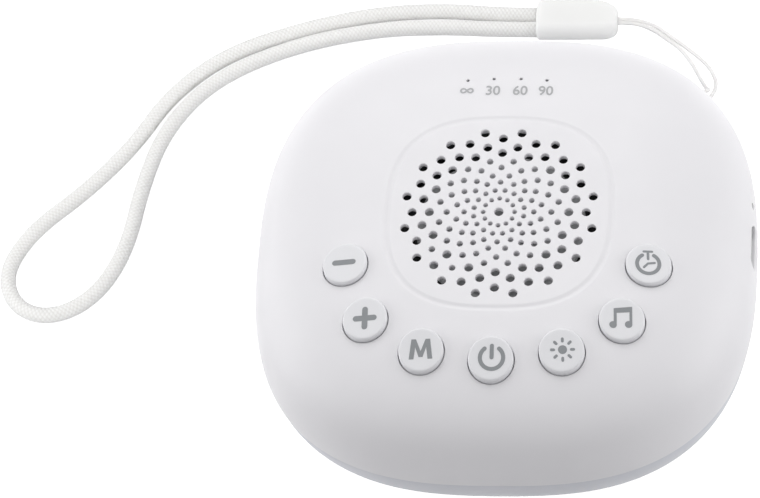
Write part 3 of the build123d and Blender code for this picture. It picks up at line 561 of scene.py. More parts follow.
@dataclass
class Housing:
    """Domed upper shell with its grille, collars, slots and pinholes, in millimetres."""

    form: HousingForm = field(default_factory=HousingForm)
    seam_edge: float = 0.15
    skin_steps: int = 200
    skin_step: float = 1.1
    hollow_steps: int = 14
    seam_margin: float = 0.01
    top_margin: float = 0.1
    buried: float = 0.7
    spare: float = 1.0
    above: float = 40.0
    grille_back: float = 0.5
    plateau_half: float = 22.15
    plateau_shift: float = 0.65
    plateau_squash: float = 0.983
    plateau_fade: float = 4.0
    plateau_top: float = 33.75
    crown: float = 0.00055
    crown_rings: int = 12
    groove_reach: float = 1.1
    groove_depth: float = 0.145
    groove_rings: int = 16
    centre_hole: float = 1.9
    # Each ring of holes: radius, number of holes, width of a hole.
    fine_rings: tuple[tuple[float, int, float], ...] = (
        (3.13, 12, 0.98), (5.08, 16, 1.08), (6.96, 16, 1.17), (8.58, 16, 1.22), (10.45, 16, 1.3),
        (12.05, 16, 1.35))
    coarse_rings: tuple[tuple[float, int, float], ...] = (
        (13.91, 16, 1.85), (15.51, 16, 1.85), (17.39, 16, 1.85), (19.0, 16, 1.85))
    narrow_ring: int = 8
    narrow_angles: tuple[float, ...] = (213.75, 236.25)
    narrow_hole: float = 1.35
    hole_radius: float = 4.66
    grille_thick: float = 1.3
    field_radius: float = 20.0
    soft_edge: float = 0.07
    wide_hole: float = 0.7
    opening_edge: float = 0.12
    collar_wall: float = 1.2
    collar_foot: float = 27.9
    chamber_radius: float = 21.4
    chamber_wall: float = 1.4
    chamber_foot: float = 25.4
    pinhole_radius: float = 0.36
    pinholes: tuple[Point, ...] = ((-8.1, 32.9), (-2.8, 33.3), (2.7, 33.3), (8.0, 32.9))
    usb_slot: Pair = (9.8, 4.0)  # width, height
    usb_y: float = 0.9
    usb_z: float = 19.02
    usb_lip: Pair = (1.4, 0.55)  # reach at its outer end, depth in the wall
    charge_hole: Triple = (0.7, 10.3, 19.85)  # radius, y, z
    anchor_angle: float = 43.5
    anchor_z: float = 19.0
    anchor_slot: Pair = (5.6, 2.6)  # width, height
    anchor_depth: float = 3.6
    anchor_pin: Pair = (0.65, 1.3)  # radius, distance behind the wall's skin
    anchor_block: Pair = (1.2, 1.5)  # margin round the slot, distance behind the wall's skin
    chamber_sides: int = 96
    button_sides: int = 64
    collar_sides: int = 48
    slot_sides: int = 32
    wide_sides: int = 28
    small_sides: int = 24
    fine_sides: int = 20
    pinhole_sides: int = 16

    def hole_places(self) -> list[Triple]:
        """Places the sound holes; every second ring is turned half a step.

        Returns:
            Centre and radius of each hole.
        """
        places = [(0.0, self.grille_back, self.centre_hole / 2)]
        for number, (radius, count, size) in enumerate(self.fine_rings + self.coarse_rings, 1):
            turn = 0.0 if number % 2 else 180 / count
            for step in range(count):
                clockwise = turn + 360 * step / count
                narrow = number == self.narrow_ring and clockwise in self.narrow_angles
                width = self.narrow_hole if narrow else size
                angle = radians(90 - clockwise)
                places.append((radius * cos(angle), self.grille_back + radius * sin(angle), width / 2))
        return places

    def skin_profile(self) -> list[Point]:
        """Draws the outer skin from the seam to the middle.

        Returns:
            Its (half-width, height) pairs.
        """
        form = self.form
        edge = self.seam_edge
        profile = [(form.half - edge, form.seam_z), (form.half - edge / 3, form.seam_z + edge / 3),
                   (form.half, form.seam_z + edge)]
        groove_out = self.plateau_half + self.groove_reach
        last = profile[-1]
        for step in range(1, self.skin_steps):
            height_share = sin(pi / 2 * step / self.skin_steps)
            half = form.dome_half(height_share)
            z = form.seam_z + form.dome_height * height_share
            if half <= groove_out:
                break
            if sqrt((half - last[0]) ** 2 + (z - last[1]) ** 2) >= self.skin_step:
                profile.append((half, z))
                last = profile[-1]
        return profile + self.middle_profile(groove_out)

    def middle_profile(self, groove_out: float) -> list[Point]:
        """Draws the soft groove and the crowned middle.

        Args:
            groove_out: half-width of the groove's outer lip.

        Returns:
            Their (half-width, height) pairs, from the outer lip inwards.
        """
        profile = []
        rim_z = self.form.dome_z(groove_out, 0.0)
        foot_half = self.plateau_half - self.groove_reach / 2
        foot_z = self.crown_z(foot_half)
        for step in range(self.groove_rings + 1):
            share = step / self.groove_rings
            half = groove_out + (foot_half - groove_out) * share
            level = rim_z + (foot_z - rim_z) * share
            dip = self.groove_depth * sin(pi * share) ** 2
            profile.append((half, level - dip))
        for step in range(1, self.crown_rings):
            half = foot_half * (1 - step / self.crown_rings)
            profile.append((half, self.crown_z(half)))
        return profile

    def centre_plateau(self, place: Vector) -> Vector:
        """Shifts the skin's middle a little to the back, fading out beyond the groove.

        Args:
            place: a place on the shell, in metres.

        Returns:
            Its new place.
        """
        if place.z < self.form.ceiling_z * MM:
            return place
        half = self.form.share_at(place.x / MM, place.y / MM) * self.form.half
        fade = self.plateau_fade
        weight = min(max((self.plateau_half + self.groove_reach + fade - half) / fade, 0.0), 1.0)
        back = place.y * (1 + weight * (self.plateau_squash - 1)) + weight * self.plateau_shift * MM
        return Vector((place.x, back, place.z))

    def crown_z(self, half: float) -> float:
        """Height of the crowned middle at a half-width."""
        return self.plateau_top - self.crown * half ** 2

    def hollow_profile(self) -> list[Point]:
        """Draws the inside from the ceiling down to the seam.

        Returns:
            Its (half-width, height) pairs.
        """
        form = self.form
        half = form.half - form.wall
        height = form.dome_height - form.top_wall
        ceiling = (form.ceiling_z - form.seam_z) / height
        profile = []
        for step in range(self.hollow_steps + 1):
            share = ceiling * (1 - step / self.hollow_steps)
            profile.append((half * (1 - share ** form.crown_power) ** (1 / form.edge_power),
                            form.seam_z + height * share))
        return profile

    def build_shell(self, buttons: list[Point]) -> bpy.types.Object:
        """Makes the domed top with its collars, grille, slots and holes.

        Args:
            buttons: centres of the seven button holes, in millimetres.

        Returns:
            The finished mesh.
        """
        form = self.form
        work = Workpiece("dome_shell")
        skin = self.skin_profile()
        form.start_outline(work, skin[0][0], skin[0][1])
        work.rise(skin)
        bpy.ops.mesh.edge_face_add()
        hollow = self.hollow_profile()
        form.start_outline(work, hollow[0][0], hollow[0][1])
        bpy.ops.mesh.edge_face_add()
        work.rise(hollow)
        work.select(lambda place: abs(place.z - form.seam_z * MM) < self.seam_margin * MM)
        bpy.ops.mesh.bridge_edge_loops()
        shell = reshape(work.close(), self.centre_plateau)
        carve(shell, self.inner_forms(buttons), "UNION")
        carve(shell, self.openings(buttons))
        carve(shell, self.slot_lip())
        carve(shell, self.anchor_mouth())
        carve(shell, self.field_recess())
        carve(shell, self.sound_holes())
        carve(shell, self.hole_rims(buttons))
        smooth(shell)
        return shell

    def inner_forms(self, buttons: list[Point]) -> bpy.types.Object:
        """Makes the button collars, the speaker chamber and the block behind the strap slot.

        Args:
            buttons: centres of the seven button holes, in millimetres.

        Returns:
            The forms that are added inside the shell, as one mesh.
        """
        work = Workpiece("inner_forms")
        for x, y in buttons:
            work.cylinder(x, y, self.hole_radius + self.collar_wall, self.collar_foot, self.plateau_top,
                          self.collar_sides)
            work.move_each(self.under_skin, only_selected=True)
        chamber = self.chamber_radius + self.chamber_wall
        work.cylinder(0.0, self.grille_back, chamber, self.chamber_foot, self.form.ceiling_z + self.buried,
                      self.chamber_sides)
        width, height = self.anchor_slot
        margin, inset = self.anchor_block
        depth = self.anchor_depth + self.form.wall
        bpy.ops.mesh.select_all(action="DESELECT")
        bpy.ops.mesh.primitive_cube_add(size=MM)
        shape = Matrix.Diagonal((depth - inset, width + 2 * margin, height + 2 * margin, 1.0))
        shift = Matrix.Translation((-(depth + inset) / 2 * MM, 0.0, 0.0))
        pose = self.anchor_pose() @ shift @ shape
        work.move_each(lambda place: pose @ place, only_selected=True)
        return work.close()

    def under_skin(self, place: Vector) -> Vector:
        """Moves a place at the top of a collar down until it is buried under the dome's skin.

        Args:
            place: a place on the collar, in metres.

        Returns:
            Its new place, or the same one if it isn't at the top.
        """
        if place.z < (self.plateau_top - self.top_margin) * MM:
            return place
        return Vector((place.x, place.y, (self.form.dome_z(place.x / MM, place.y / MM) - self.buried) * MM))

    def skin_z(self, x: float, y: float) -> float:
        """Gives the height of the outer skin, which is the crowned middle or the dome round it.

        Args:
            x: the place across the machine.
            y: the place from front to back.

        Returns:
            The height over that place.
        """
        half = self.form.share_at(x, y) * self.form.half
        foot_half = self.plateau_half - self.groove_reach / 2
        return self.crown_z(half) if half < foot_half else self.form.dome_z(x, y)

    def hole_rims(self, buttons: list[Point]) -> bpy.types.Object:
        """Makes the shallow cones that take the sharp edge off the button holes.

        Args:
            buttons: centres of the seven button holes, in millimetres.

        Returns:
            The cones as one tool, each following the skin around its hole.
        """
        reach = self.opening_edge
        work = Workpiece("hole_rims")
        for x, y in buttons:
            bpy.ops.mesh.select_all(action="DESELECT")
            bpy.ops.mesh.primitive_cone_add(vertices=self.button_sides,
                                            radius1=(self.hole_radius - reach) * MM,
                                            radius2=(self.hole_radius + FLARE_RISE * reach) * MM,
                                            depth=(FLARE_RISE + 1) * reach * MM,
                                            location=(x * MM, y * MM, 0.0))
            work.move_each(self.follow_skin, only_selected=True)
        return work.close()

    def follow_skin(self, place: Vector) -> Vector:
        """Lifts a place, in metres, by the height of the skin over it."""
        height = self.skin_z(place.x / MM, place.y / MM)
        return Vector((place.x, place.y, place.z + height * MM))

    def field_recess(self) -> bpy.types.Object:
        """Makes the round recess behind the grille, which leaves a thin field of holes.

        Returns:
            The cutting tool.
        """
        work = Workpiece("field_recess")
        work.cylinder(0.0, self.grille_back, self.field_radius, self.form.ceiling_z - self.spare,
                      self.plateau_top - self.grille_thick, self.chamber_sides)
        return work.close()

    def anchor_pose(self) -> Matrix:
        """Stands a frame on the side wall at the strap.

        Returns:
            The frame, whose X points out of the wall and whose Z points up.
        """
        angle = radians(self.anchor_angle)
        height_share = (self.anchor_z - self.form.seam_z) / self.form.dome_height
        reach = self.form.dome_half(height_share) * self.form.reach(angle)
        place = Matrix.Translation((reach * cos(angle) * MM, reach * sin(angle) * MM, self.anchor_z * MM))
        return place @ Matrix.Rotation(angle, 4, "Z")

    def slot_tool(self, work: Workpiece, size: Pair, depth: float, pose: Matrix, flare: float = 0.0) -> None:
        """Adds a round-ended slot through a side wall.

        Args:
            work: the tool it is added to.
            size: the slot's width and height.
            depth: how far it goes into the wall, and out of it.
            pose: frame on the wall, with X pointing out.
            flare: how much further it reaches round at its outer end.
        """
        width, height = size
        radius = height / 2
        bpy.ops.mesh.select_all(action="DESELECT")
        bpy.ops.mesh.primitive_cone_add(vertices=self.slot_sides, radius1=radius * MM,
                                        radius2=(radius + flare) * MM, depth=2 * depth * MM)
        spread = (width - height) / 2 * MM

        def stretch(place: Vector) -> Vector:
            """Parts the two halves and lays the slot along Y, facing X."""
            across = place.x + (spread if place.x >= 0 else -spread)
            return pose @ Vector((place.z, across, place.y))

        work.move_each(stretch, only_selected=True)

    def openings(self, buttons: list[Point]) -> bpy.types.Object:
        """Makes the tool for the button holes, the chamber's room, the charging slot and the lamp hole.

        Args:
            buttons: centres of the seven button holes, in millimetres.

        Returns:
            The cutting tool.
        """
        work = Workpiece("openings")
        for x, y in buttons:
            work.cylinder(x, y, self.hole_radius, self.collar_foot - self.spare, self.above,
                          self.button_sides)
        work.cylinder(0.0, self.grille_back, self.chamber_radius, self.chamber_foot - self.spare,
                      self.form.ceiling_z, self.chamber_sides)
        self.slot_tool(work, self.usb_slot, 2 * self.form.wall, self.usb_pose())
        radius, y, z = self.charge_hole
        bpy.ops.mesh.primitive_cylinder_add(vertices=self.small_sides, radius=radius * MM,
                                            depth=4 * self.form.wall * MM,
                                            location=(self.form.half * MM, y * MM, z * MM),
                                            rotation=(0.0, pi / 2, 0.0))
        return work.close()

    def usb_pose(self) -> Matrix:
        """Frame on the side wall at the charging slot: X points out of the wall, Z up."""
        return Matrix.Translation((self.form.half * MM, self.usb_y * MM, self.usb_z * MM))

    def slot_lip(self) -> bpy.types.Object:
        """Makes the flare that opens the charging slot's lip.

        Returns:
            The cutting tool.
        """
        work = Workpiece("slot_lip")
        flare, depth = self.usb_lip
        self.slot_tool(work, self.usb_slot, depth, self.usb_pose(), flare)
        return work.close()

    def anchor_mouth(self) -> bpy.types.Object:
        """Makes the strap slot's tool, with the upright pin left out of it.

        Returns:
            The cutting tool.
        """
        work = Workpiece("anchor_mouth")
        height = self.anchor_slot[1]
        self.slot_tool(work, self.anchor_slot, self.anchor_depth, self.anchor_pose())
        mouth = work.close()
        pin = Workpiece("anchor_pin")
        radius, inset = self.anchor_pin
        x, y, _ = self.anchor_pose() @ Vector((-inset * MM, 0.0, 0.0))
        pin.cylinder(x / MM, y / MM, radius, self.anchor_z - height, self.anchor_z + height,
                     self.small_sides)
        carve(mouth, pin.close())
        return mouth

    def sound_holes(self) -> bpy.types.Object:
        """Makes all the fine round holes in the top as one tool.

        Returns:
            The cutting tool.
        """
        work = Workpiece("sound_holes")
        above = self.plateau_top + self.spare
        for x, y, radius in self.hole_places():
            sides = self.wide_sides if radius > self.wide_hole else self.fine_sides
            work.cylinder(x, y, radius, self.form.ceiling_z - self.spare, above, sides)
            work.flare_top(x, y, radius, self.skin_z(x, y), self.soft_edge)
        for x, y in self.pinholes:
            work.cylinder(x, y, self.pinhole_radius, self.collar_foot, above, self.pinhole_sides)
        return work.close()


# ------------------------------------------------------------------ flat printed shapes
def bar_outline(start: Point, end: Point, width: float, steps: int = 8) -> Outline:
    """Outline of a round-ended bar.

    Args:
        start: centre of the first round end.
        end: centre of the second round end.
        width: the bar's width.
        steps: chords in each round end.

    Returns:
        Its points, anticlockwise.
    """
    turn = atan2(end[1] - start[1], end[0] - start[0])
    points = []
    for (x, y), offset in ((end, -pi / 2), (start, pi / 2)):
        for step in range(steps + 1):
            angle = turn + offset + pi * step / steps
            points.append((x + width / 2 * cos(angle), y + width / 2 * sin(angle)))
    return points


def stroke_outline(line: list[Point], width: float, steps: int = 6) -> Outline:
    """Outline of a round-ended stroke along an open line.

    Args:
        line: points of the line.
        width: the stroke's width.
        steps: chords in each round end.

    Returns:
        Its points, anticlockwise.
    """
    turns = [atan2(there[1] - here[1], there[0] - here[0]) for here, there in zip(line, line[1:])]
    headings = [turns[0], *[blended(first, second) for first, second in zip(turns, turns[1:])], turns[-1]]
    right = [(x + width / 2 * sin(turn), y - width / 2 * cos(turn)) for (x, y), turn in zip(line, headings)]
    left = [(x - width / 2 * sin(turn), y + width / 2 * cos(turn)) for (x, y), turn in zip(line, headings)]
    ends = []
    for (x, y), turn in ((line[-1], turns[-1] - pi / 2), (line[0], turns[0] + pi / 2)):
        angles = [turn + pi * step / steps for step in range(1, steps)]
        ends.append([(x + width / 2 * cos(angle), y + width / 2 * sin(angle)) for angle in angles])
    return [*right, *ends[0], *reversed(left), *ends[1]]


def blended(first: float, second: float) -> float:
    """Heading half-way between two headings."""
    return atan2(sin(first) + sin(second), cos(first) + cos(second))


def disc_outline(centre: Point, radius: float, steps: int = 32) -> Outline:
    """Outline of a disc."""
    angles = [2 * pi * step / steps for step in range(steps)]
    return [(centre[0] + radius * cos(angle), centre[1] + radius * sin(angle)) for angle in angles]


def arc_outline(radius: float, width: float, first: float, last: float, steps: int = 56) -> Outline:
    """Outline of a round-ended arc about the middle.

    Args:
        radius: the arc's own radius, to the middle of its line.
        width: width of the line.
        first: its first end, in degrees anticlockwise from X.
        last: its last end, further round.
        steps: chords along the arc.

    Returns:
        Its points, anticlockwise.
    """
    turns = [radians(first + (last - first) * step / steps) for step in range(steps + 1)]
    far, near = radius + width / 2, radius - width / 2
    outer = [(far * cos(turn), far * sin(turn)) for turn in turns]
    inner = [(near * cos(turn), near * sin(turn)) for turn in reversed(turns)]
    return [*outer, *end_cap(radius, width, turns[-1], 0.0), *inner, *end_cap(radius, width, turns[0], pi)]


def end_cap(radius: float, width: float, turn: float, start: float, steps: int = 8) -> Outline:
    """Points of the half circle that ends an arc.

    Args:
        radius: the arc's own radius.
        width: width of its line.
        turn: where the arc ends, in radians.
        start: 0 at the arc's last end, pi at its first.
        steps: chords in the half circle.

    Returns:
        The points between the arc's outer and inner line.
    """
    middle = (radius * cos(turn), radius * sin(turn))
    angles = [turn + start + pi * step / steps for step in range(1, steps)]
    return [(middle[0] + width / 2 * cos(angle), middle[1] + width / 2 * sin(angle)) for angle in angles]


def plate(name: str, outlines: list[Outline], thickness: float) -> bpy.types.Object:
    """Makes one thin plate from outlines that may overlap, lying on z = 0 and centred as drawn.

    Args:
        name: name of the piece.
        outlines: closed outlines in millimetres.
        thickness: height of the plate.

    Returns:
        The joined mesh.
    """
    whole = None
    for outline in outlines:
        work = Workpiece(name if whole is None else "part_of_" + name)
        bpy.ops.mesh.primitive_circle_add(vertices=len(outline), radius=MM, fill_type="NGON")
        mesh = bmesh.from_edit_mesh(work.piece.data)
        for vertex, (x, y) in zip(mesh.verts, outline):
            vertex.co = Vector((x, y, 0.0)) * MM
        bmesh.update_edit_mesh(work.piece.data)
        bpy.ops.mesh.extrude_region_move(TRANSFORM_OT_translate={"value": (0.0, 0.0, thickness * MM)})
        slab = work.close(PLATE_ANGLE)
        if whole is None:
            whole = slab
        else:
            carve(whole, slab, "UNION")
    return whole


def lettering(name: str, text: str, height: float, boldness: float, thickness: float) -> bpy.types.Object:
    """Makes raised lettering centred on the origin.

    Args:
        name: name of the piece.
        text: what it says.
        height: height of its capitals or digits in millimetres.
        boldness: how far each stroke is grown on both sides.
        thickness: how far it stands up.

    Returns:
        The mesh.
    """
    half = 0.5
    deselect()
    bpy.ops.object.text_add()
    words = bpy.context.object
    words.name = name
    words.data.body = text
    words.data.extrude = half
    words.data.offset = boldness
    words.data.resolution_u = LETTER_RESOLUTION
    bpy.ops.object.convert(target="MESH")
    words = bpy.context.object
    words.data.name = name
    low, high = corners(words)
    scale = height * MM / (high.y - low.y)
    middle = (low + high) / 2
    for vertex in words.data.vertices:
        x, y, z = vertex.co - middle
        vertex.co = Vector((x * scale, y * scale, (half + z / (high.z - low.z)) * thickness * MM))
    activate(words)
    bpy.ops.object.mode_set(mode="EDIT")
    bpy.ops.mesh.select_all(action="SELECT")
    bpy.ops.mesh.remove_doubles(threshold=LETTER_MERGE_REACH * MM)
    bpy.ops.mesh.normals_make_consistent(inside=False)
    bpy.ops.object.mode_set(mode="OBJECT")
    return words


def corners(piece: bpy.types.Object) -> tuple[Vector, Vector]:
    """Finds the box round a mesh.

    Args:
        piece: the mesh.

    Returns:
        Its lowest and highest corner.
    """
    places = [vertex.co for vertex in piece.data.vertices]
    low = Vector([min(place[axis] for place in places) for axis in range(3)])
    high = Vector([max(place[axis] for place in places) for axis in range(3)])
    return low, high


def reshape(piece: bpy.types.Object, place: Callable[[Vector], Vector]) -> bpy.types.Object:
    """Moves each vertex of a finished mesh to the place that a formula gives.

    Args:
        piece: the mesh.
        place: the formula, from old place to new, in metres.

    Returns:
        The piece.
    """
    for vertex in piece.data.vertices:
        vertex.co = place(vertex.co.copy())
    piece.data.update()
    return piece


# ------------------------------------------------------------------ push buttons
class Symbol(Enum):
    """What is printed on each button's cap, by the button's name."""

    LESS = "minus"
    MORE = "plus"
    MODE = "mode"
    POWER = "power"
    LIGHT = "light"
    SOUND = "sound"
    TIMER = "timer"


@dataclass(frozen=True)
class SymbolDrawing:
    """The printed symbols, each drawn about the middle of its cap, in millimetres."""

    sign_reach: float = 1.83
    sign_width: float = 1.15
    half_letter: tuple[Point, ...] = (
        (0.4, -1.53), (1.08, 0.5), (1.4, -1.95), (2.33, -1.95), (1.85, 2.1), (0.95, 2.1), (0.0, -0.36))
    power_arc: Arc = (2.28, 0.8, 128.0, 412.0)  # radius, width, first and last angle
    power_bar: Pair = (0.05, 2.35)  # foot, head
    lamp_radius: float = 0.88
    ray_count: int = 8
    ray: Triple = (1.72, 2.18, 0.55)  # near end, far end, width
    note_beam: tuple[Point, ...] = ((-1.57, 0.95), (2.02, 1.3), (2.02, 2.38), (-1.57, 1.95))
    # Lower left and upper right corner of each stem.
    note_stems: tuple[tuple[Point, Point], ...] = (
        ((-1.57, -1.5), (-0.99, 1.4)), ((1.49, -1.35), (2.02, 1.8)))
    note_heads: tuple[Point, ...] = ((-1.7, -1.5), (1.31, -1.35))
    note_radius: float = 0.72
    clock_arc: Arc = (2.17, 0.74, 121.0, 418.4)  # radius, width, first and last angle
    clock_hands: tuple[Point, ...] = ((-0.85, -0.8), (-0.05, 0.05), (1.25, 0.22))
    clock_hand_width: float = 0.47
    clock_crown: Triple = (0.82, 2.7, 0.45)  # half-length, height over the middle, width
    clock_stem: Triple = (1.05, 2.6, 0.5)  # foot, head, width

    def outlines(self, symbol: Symbol) -> list[Outline]:
        """Draws one symbol.

        Args:
            symbol: which one.

        Returns:
            Its outlines, which may overlap.
        """
        reach, width = self.sign_reach, self.sign_width
        level = bar_outline((-reach, 0.0), (reach, 0.0), width)
        if symbol is Symbol.LESS:
            return [level]
        if symbol is Symbol.MORE:
            return [level, bar_outline((0.0, -reach), (0.0, reach), width)]
        if symbol is Symbol.MODE:
            mirrored = [(-x, y) for x, y in reversed(self.half_letter[:-1])]
            return [[*self.half_letter, *mirrored]]
        if symbol is Symbol.POWER:
            low, high = self.power_bar
            return [arc_outline(*self.power_arc), bar_outline((0.0, low), (0.0, high), self.power_arc[1])]
        if symbol is Symbol.LIGHT:
            return self.lamp()
        if symbol is Symbol.SOUND:
            return self.two_notes()
        return self.stopwatch()

    def lamp(self) -> list[Outline]:
        """Draws the lamp: a disc in a ring of rays.

        Returns:
            Its outlines.
        """
        near, far, width = self.ray
        rays = []
        for step in range(self.ray_count):
            turn = 2 * pi / self.ray_count * step
            rays.append(bar_outline((near * cos(turn), near * sin(turn)),
                                    (far * cos(turn), far * sin(turn)), width))
        return [disc_outline((0.0, 0.0), self.lamp_radius), *rays]

    def two_notes(self) -> list[Outline]:
        """Draws two notes under one beam.

        Returns:
            Their outlines.
        """
        stems = [[low, (high[0], low[1]), high, (low[0], high[1])] for low, high in self.note_stems]
        heads = [disc_outline(centre, self.note_radius) for centre in self.note_heads]
        return [list(self.note_beam), *stems, *heads]

    def stopwatch(self) -> list[Outline]:
        """Draws the open ring of a stopwatch with its hands, crown and stem.

        Returns:
            Its outlines.
        """
        half, height, crown_width = self.clock_crown
        foot, head, stem_width = self.clock_stem
        hands = stroke_outline(list(self.clock_hands), self.clock_hand_width)
        crown = bar_outline((-half, height), (half, height), crown_width)
        stem = bar_outline((0.0, foot), (0.0, head), stem_width)
        return [arc_outline(*self.clock_arc), hands, crown, stem]


@dataclass
class ButtonArc:
    """Seven push buttons round the front of the grille, each tilted to lie along the dome."""

    form: HousingForm
    places: dict[str, Point]
    radius: float = 4.48
    proud: float = 0.95
    edge: float = 0.38
    dish: float = 0.05
    roof: float = 1.6
    skirt: float = 1.0
    stem_radius: float = 2.2
    stem_foot: float = 26.6
    flange: Triple = (5.43, 26.85, 27.75)  # radius, foot, top
    tilt_margin: float = 0.2
    edge_steps: int = 6
    dish_shares: tuple[float, ...] = (0.9, 0.75, 0.5, 0.25)
    sides: int = 96
    ink: float = 0.03
    drawing: SymbolDrawing = field(default_factory=SymbolDrawing)
    # How far each symbol is turned on its cap, and how far it sits off the middle.
    turns: dict[str, float] = field(default_factory=lambda: {
        "minus": 0.0, "plus": 1.0, "mode": 1.5, "power": 0.0, "light": 3.0, "sound": 2.0, "timer": 3.5})
    shifts: dict[str, Point] = field(default_factory=lambda: {
        "minus": (-0.2, 0.2), "power": (0.2, 0.1), "light": (0.2, 0.1), "sound": (0.0, 0.25),
        "timer": (-0.05, -0.02)})

    def cap_profile(self, top: float) -> list[Point]:
        """Draws a cap from the stem's foot, round the hollow, to the middle of the top.

        Args:
            top: height of the cap's top.

        Returns:
            Its (radius, height) pairs.
        """
        flange_radius, flange_foot, flange_top = self.flange
        inner = self.radius - self.skirt
        under = top - self.roof - self.edge
        profile = [(self.stem_radius, self.stem_foot), (self.stem_radius, under), (inner, under),
                   (inner, flange_foot), (flange_radius, flange_foot), (flange_radius, flange_top),
                   (self.radius, flange_top), (self.radius, (flange_top + top) / 2)]
        for step in range(self.edge_steps + 1):
            turn = pi / 2 * step / self.edge_steps
            profile.append((self.radius - self.edge * (1 - cos(turn)), top - self.edge * (1 - sin(turn))))
        flat = self.radius - self.edge
        for share in self.dish_shares:
            profile.append((flat * share, top - self.dish * (1 - share ** 2)))
        return profile

    def build_cap(self, name: str) -> bpy.types.Object:
        """Makes one cap at the origin and sets it in its place, tilted to the dome.

        Args:
            name: the button's name.

        Returns:
            The cap.
        """
        x, y = self.places[name]
        slope_x, slope_y = self.form.slope(x, y)
        top = self.form.dome_z(x, y) + self.proud
        profile = self.cap_profile(top)
        work = Workpiece(f"{name}_cap")
        bpy.ops.mesh.primitive_circle_add(vertices=self.sides, radius=profile[0][0] * MM,
                                          location=(0.0, 0.0, profile[0][1] * MM))
        bpy.ops.mesh.edge_face_add()
        work.rise(profile)
        bpy.ops.mesh.edge_face_add()
        tilt_from = (self.flange[2] + self.tilt_margin) * MM

        def into_place(place: Vector) -> Vector:
            """Tilts all above the flange and moves it to the button's centre."""
            tilt = slope_x * place.x + slope_y * place.y if place.z > tilt_from else 0.0
            return place + Vector((x * MM, y * MM, tilt))

        work.move_each(into_place)
        return work.close(ROUNDED_ANGLE)

    def build_symbol(self, name: str) -> bpy.types.Object:
        """Makes the printed symbol and lays it on its cap.

        Args:
            name: the button's name.

        Returns:
            The printed symbol.
        """
        ink = plate(f"{name}_symbol", self.drawing.outlines(Symbol(name)), 2 * self.ink)
        x, y = self.places[name]
        shift_x, shift_y = self.shifts.get(name, (0.0, 0.0))
        slope_x, slope_y = self.form.slope(x, y)
        flat = self.radius - self.edge
        top = self.form.dome_z(x, y) + self.proud - self.dish
        turn = radians(self.turns[name])

        def onto_cap(place: Vector) -> Vector:
            """Turns the symbol, tilts it and lays it into the cap's shallow dish.

            Args:
                place: a place on the flat symbol, in metres.

            Returns:
                Its place on the cap.
            """
            across = place.x * cos(turn) - place.y * sin(turn) + shift_x * MM
            along = place.x * sin(turn) + place.y * cos(turn) + shift_y * MM
            dished = self.dish * (across ** 2 + along ** 2) / (flat * MM) ** 2
            height = (top + dished - self.ink) * MM + slope_x * across + slope_y * along + place.z
            return Vector((x * MM + across, y * MM + along, height))

        return reshape(ink, onto_cap)

    def build(self) -> None:
        """Makes and dresses all seven buttons."""
        for name in self.places:
            dress(self.build_cap(name), BUTTON_ABS, name, f"{name}_button")
            dress(self.build_symbol(name), SYMBOL_INK, name)


@dataclass
class TimerScale:
    """Printed times in front of the four pinholes."""

    form: HousingForm
    # Each label: name, text (none for the endless loop), x and y.
    marks: tuple[tuple[str, str, float, float], ...] = (
        ("always", "", -8.13, 30.1), ("half_hour", "30", -2.79, 30.12), ("one_hour", "60", 2.74, 30.1),
        ("hour_and_half", "90", 7.94, 30.04))
    digit_height: float = 2.5
    digit_narrowing: float = 0.9
    digit_boldness: float = 0.012
    loop: Triple = (1.22, 1.55, 0.36)  # half-length, steepness, width of its line
    loop_steps: int = 12
    ink: float = 0.03

    def endless_loop(self) -> list[Outline]:
        """Draws the lying figure of eight that stands for playing on.

        Returns:
            Four strokes, one for each quarter of it.
        """
        reach, rise, width = self.loop
        turns = [pi / 2 * step / self.loop_steps for step in range(self.loop_steps + 1)]
        strokes = []
        for side in (1, -1):
            for up in (1, -1):
                line = [(side * reach * cos(turn) / (1 + sin(turn) ** 2),
                         up * rise * sin(turn) * cos(turn) / (1 + sin(turn) ** 2)) for turn in turns]
                strokes.append(stroke_outline(line, width))
        return strokes

    def build(self) -> None:
        """Makes the four labels and lays them on the dome."""
        for name, text, x, y in self.marks:
            if text:
                label = lettering(f"label_{name}", text, self.digit_height, self.digit_boldness, 2 * self.ink)
                reshape(label, lambda place: Vector((place.x * self.digit_narrowing, place.y, place.z)))
            else:
                label = plate(f"label_{name}", self.endless_loop(), 2 * self.ink)

            def onto_dome(place: Vector, x: float = x, y: float = y) -> Vector:
                """Lays the label on the dome's skin.

                Args:
                    place: a place on the flat label, in metres.
                    x: the label's place across the machine, in millimetres.
                    y: its place from front to back.

                Returns:
                    The place on the skin.
                """
                across, along = x + place.x / MM, y + place.y / MM
                height = self.form.dome_z(across, along) - self.ink
                return Vector((across * MM, along * MM, height * MM + place.z))

            dress(reshape(label, onto_dome), LABEL_INK, "housing")


# ------------------------------------------------------------------ strap
def spline_line(points: list[Triple]) -> list[Vector]:
    """Draws the smooth spline that a route's points control.

    Args:
        points: the route's points in metres.

    Returns:
        Close points along the spline, unevenly spaced.
    """
    curve = bpy.data.curves.new("route", "CURVE")
    curve.dimensions = "3D"
    curve.resolution_u = ROUTE_RESOLUTION
    spline = curve.splines.new("NURBS")
    spline.points.add(len(points) - 1)
    for target, place in zip(spline.points, points):
        target.co = (*place, 1.0)
    spline.order_u = ROUTE_ORDER
    spline.use_endpoint_u = True
    holder = bpy.data.objects.new("route", curve)
    mesh = bpy.data.meshes.new_from_object(holder)
    line = [vertex.co.copy() for vertex in mesh.vertices]
    bpy.data.objects.remove(holder)
    bpy.data.meshes.remove(mesh)
    bpy.data.curves.remove(curve)
    return line


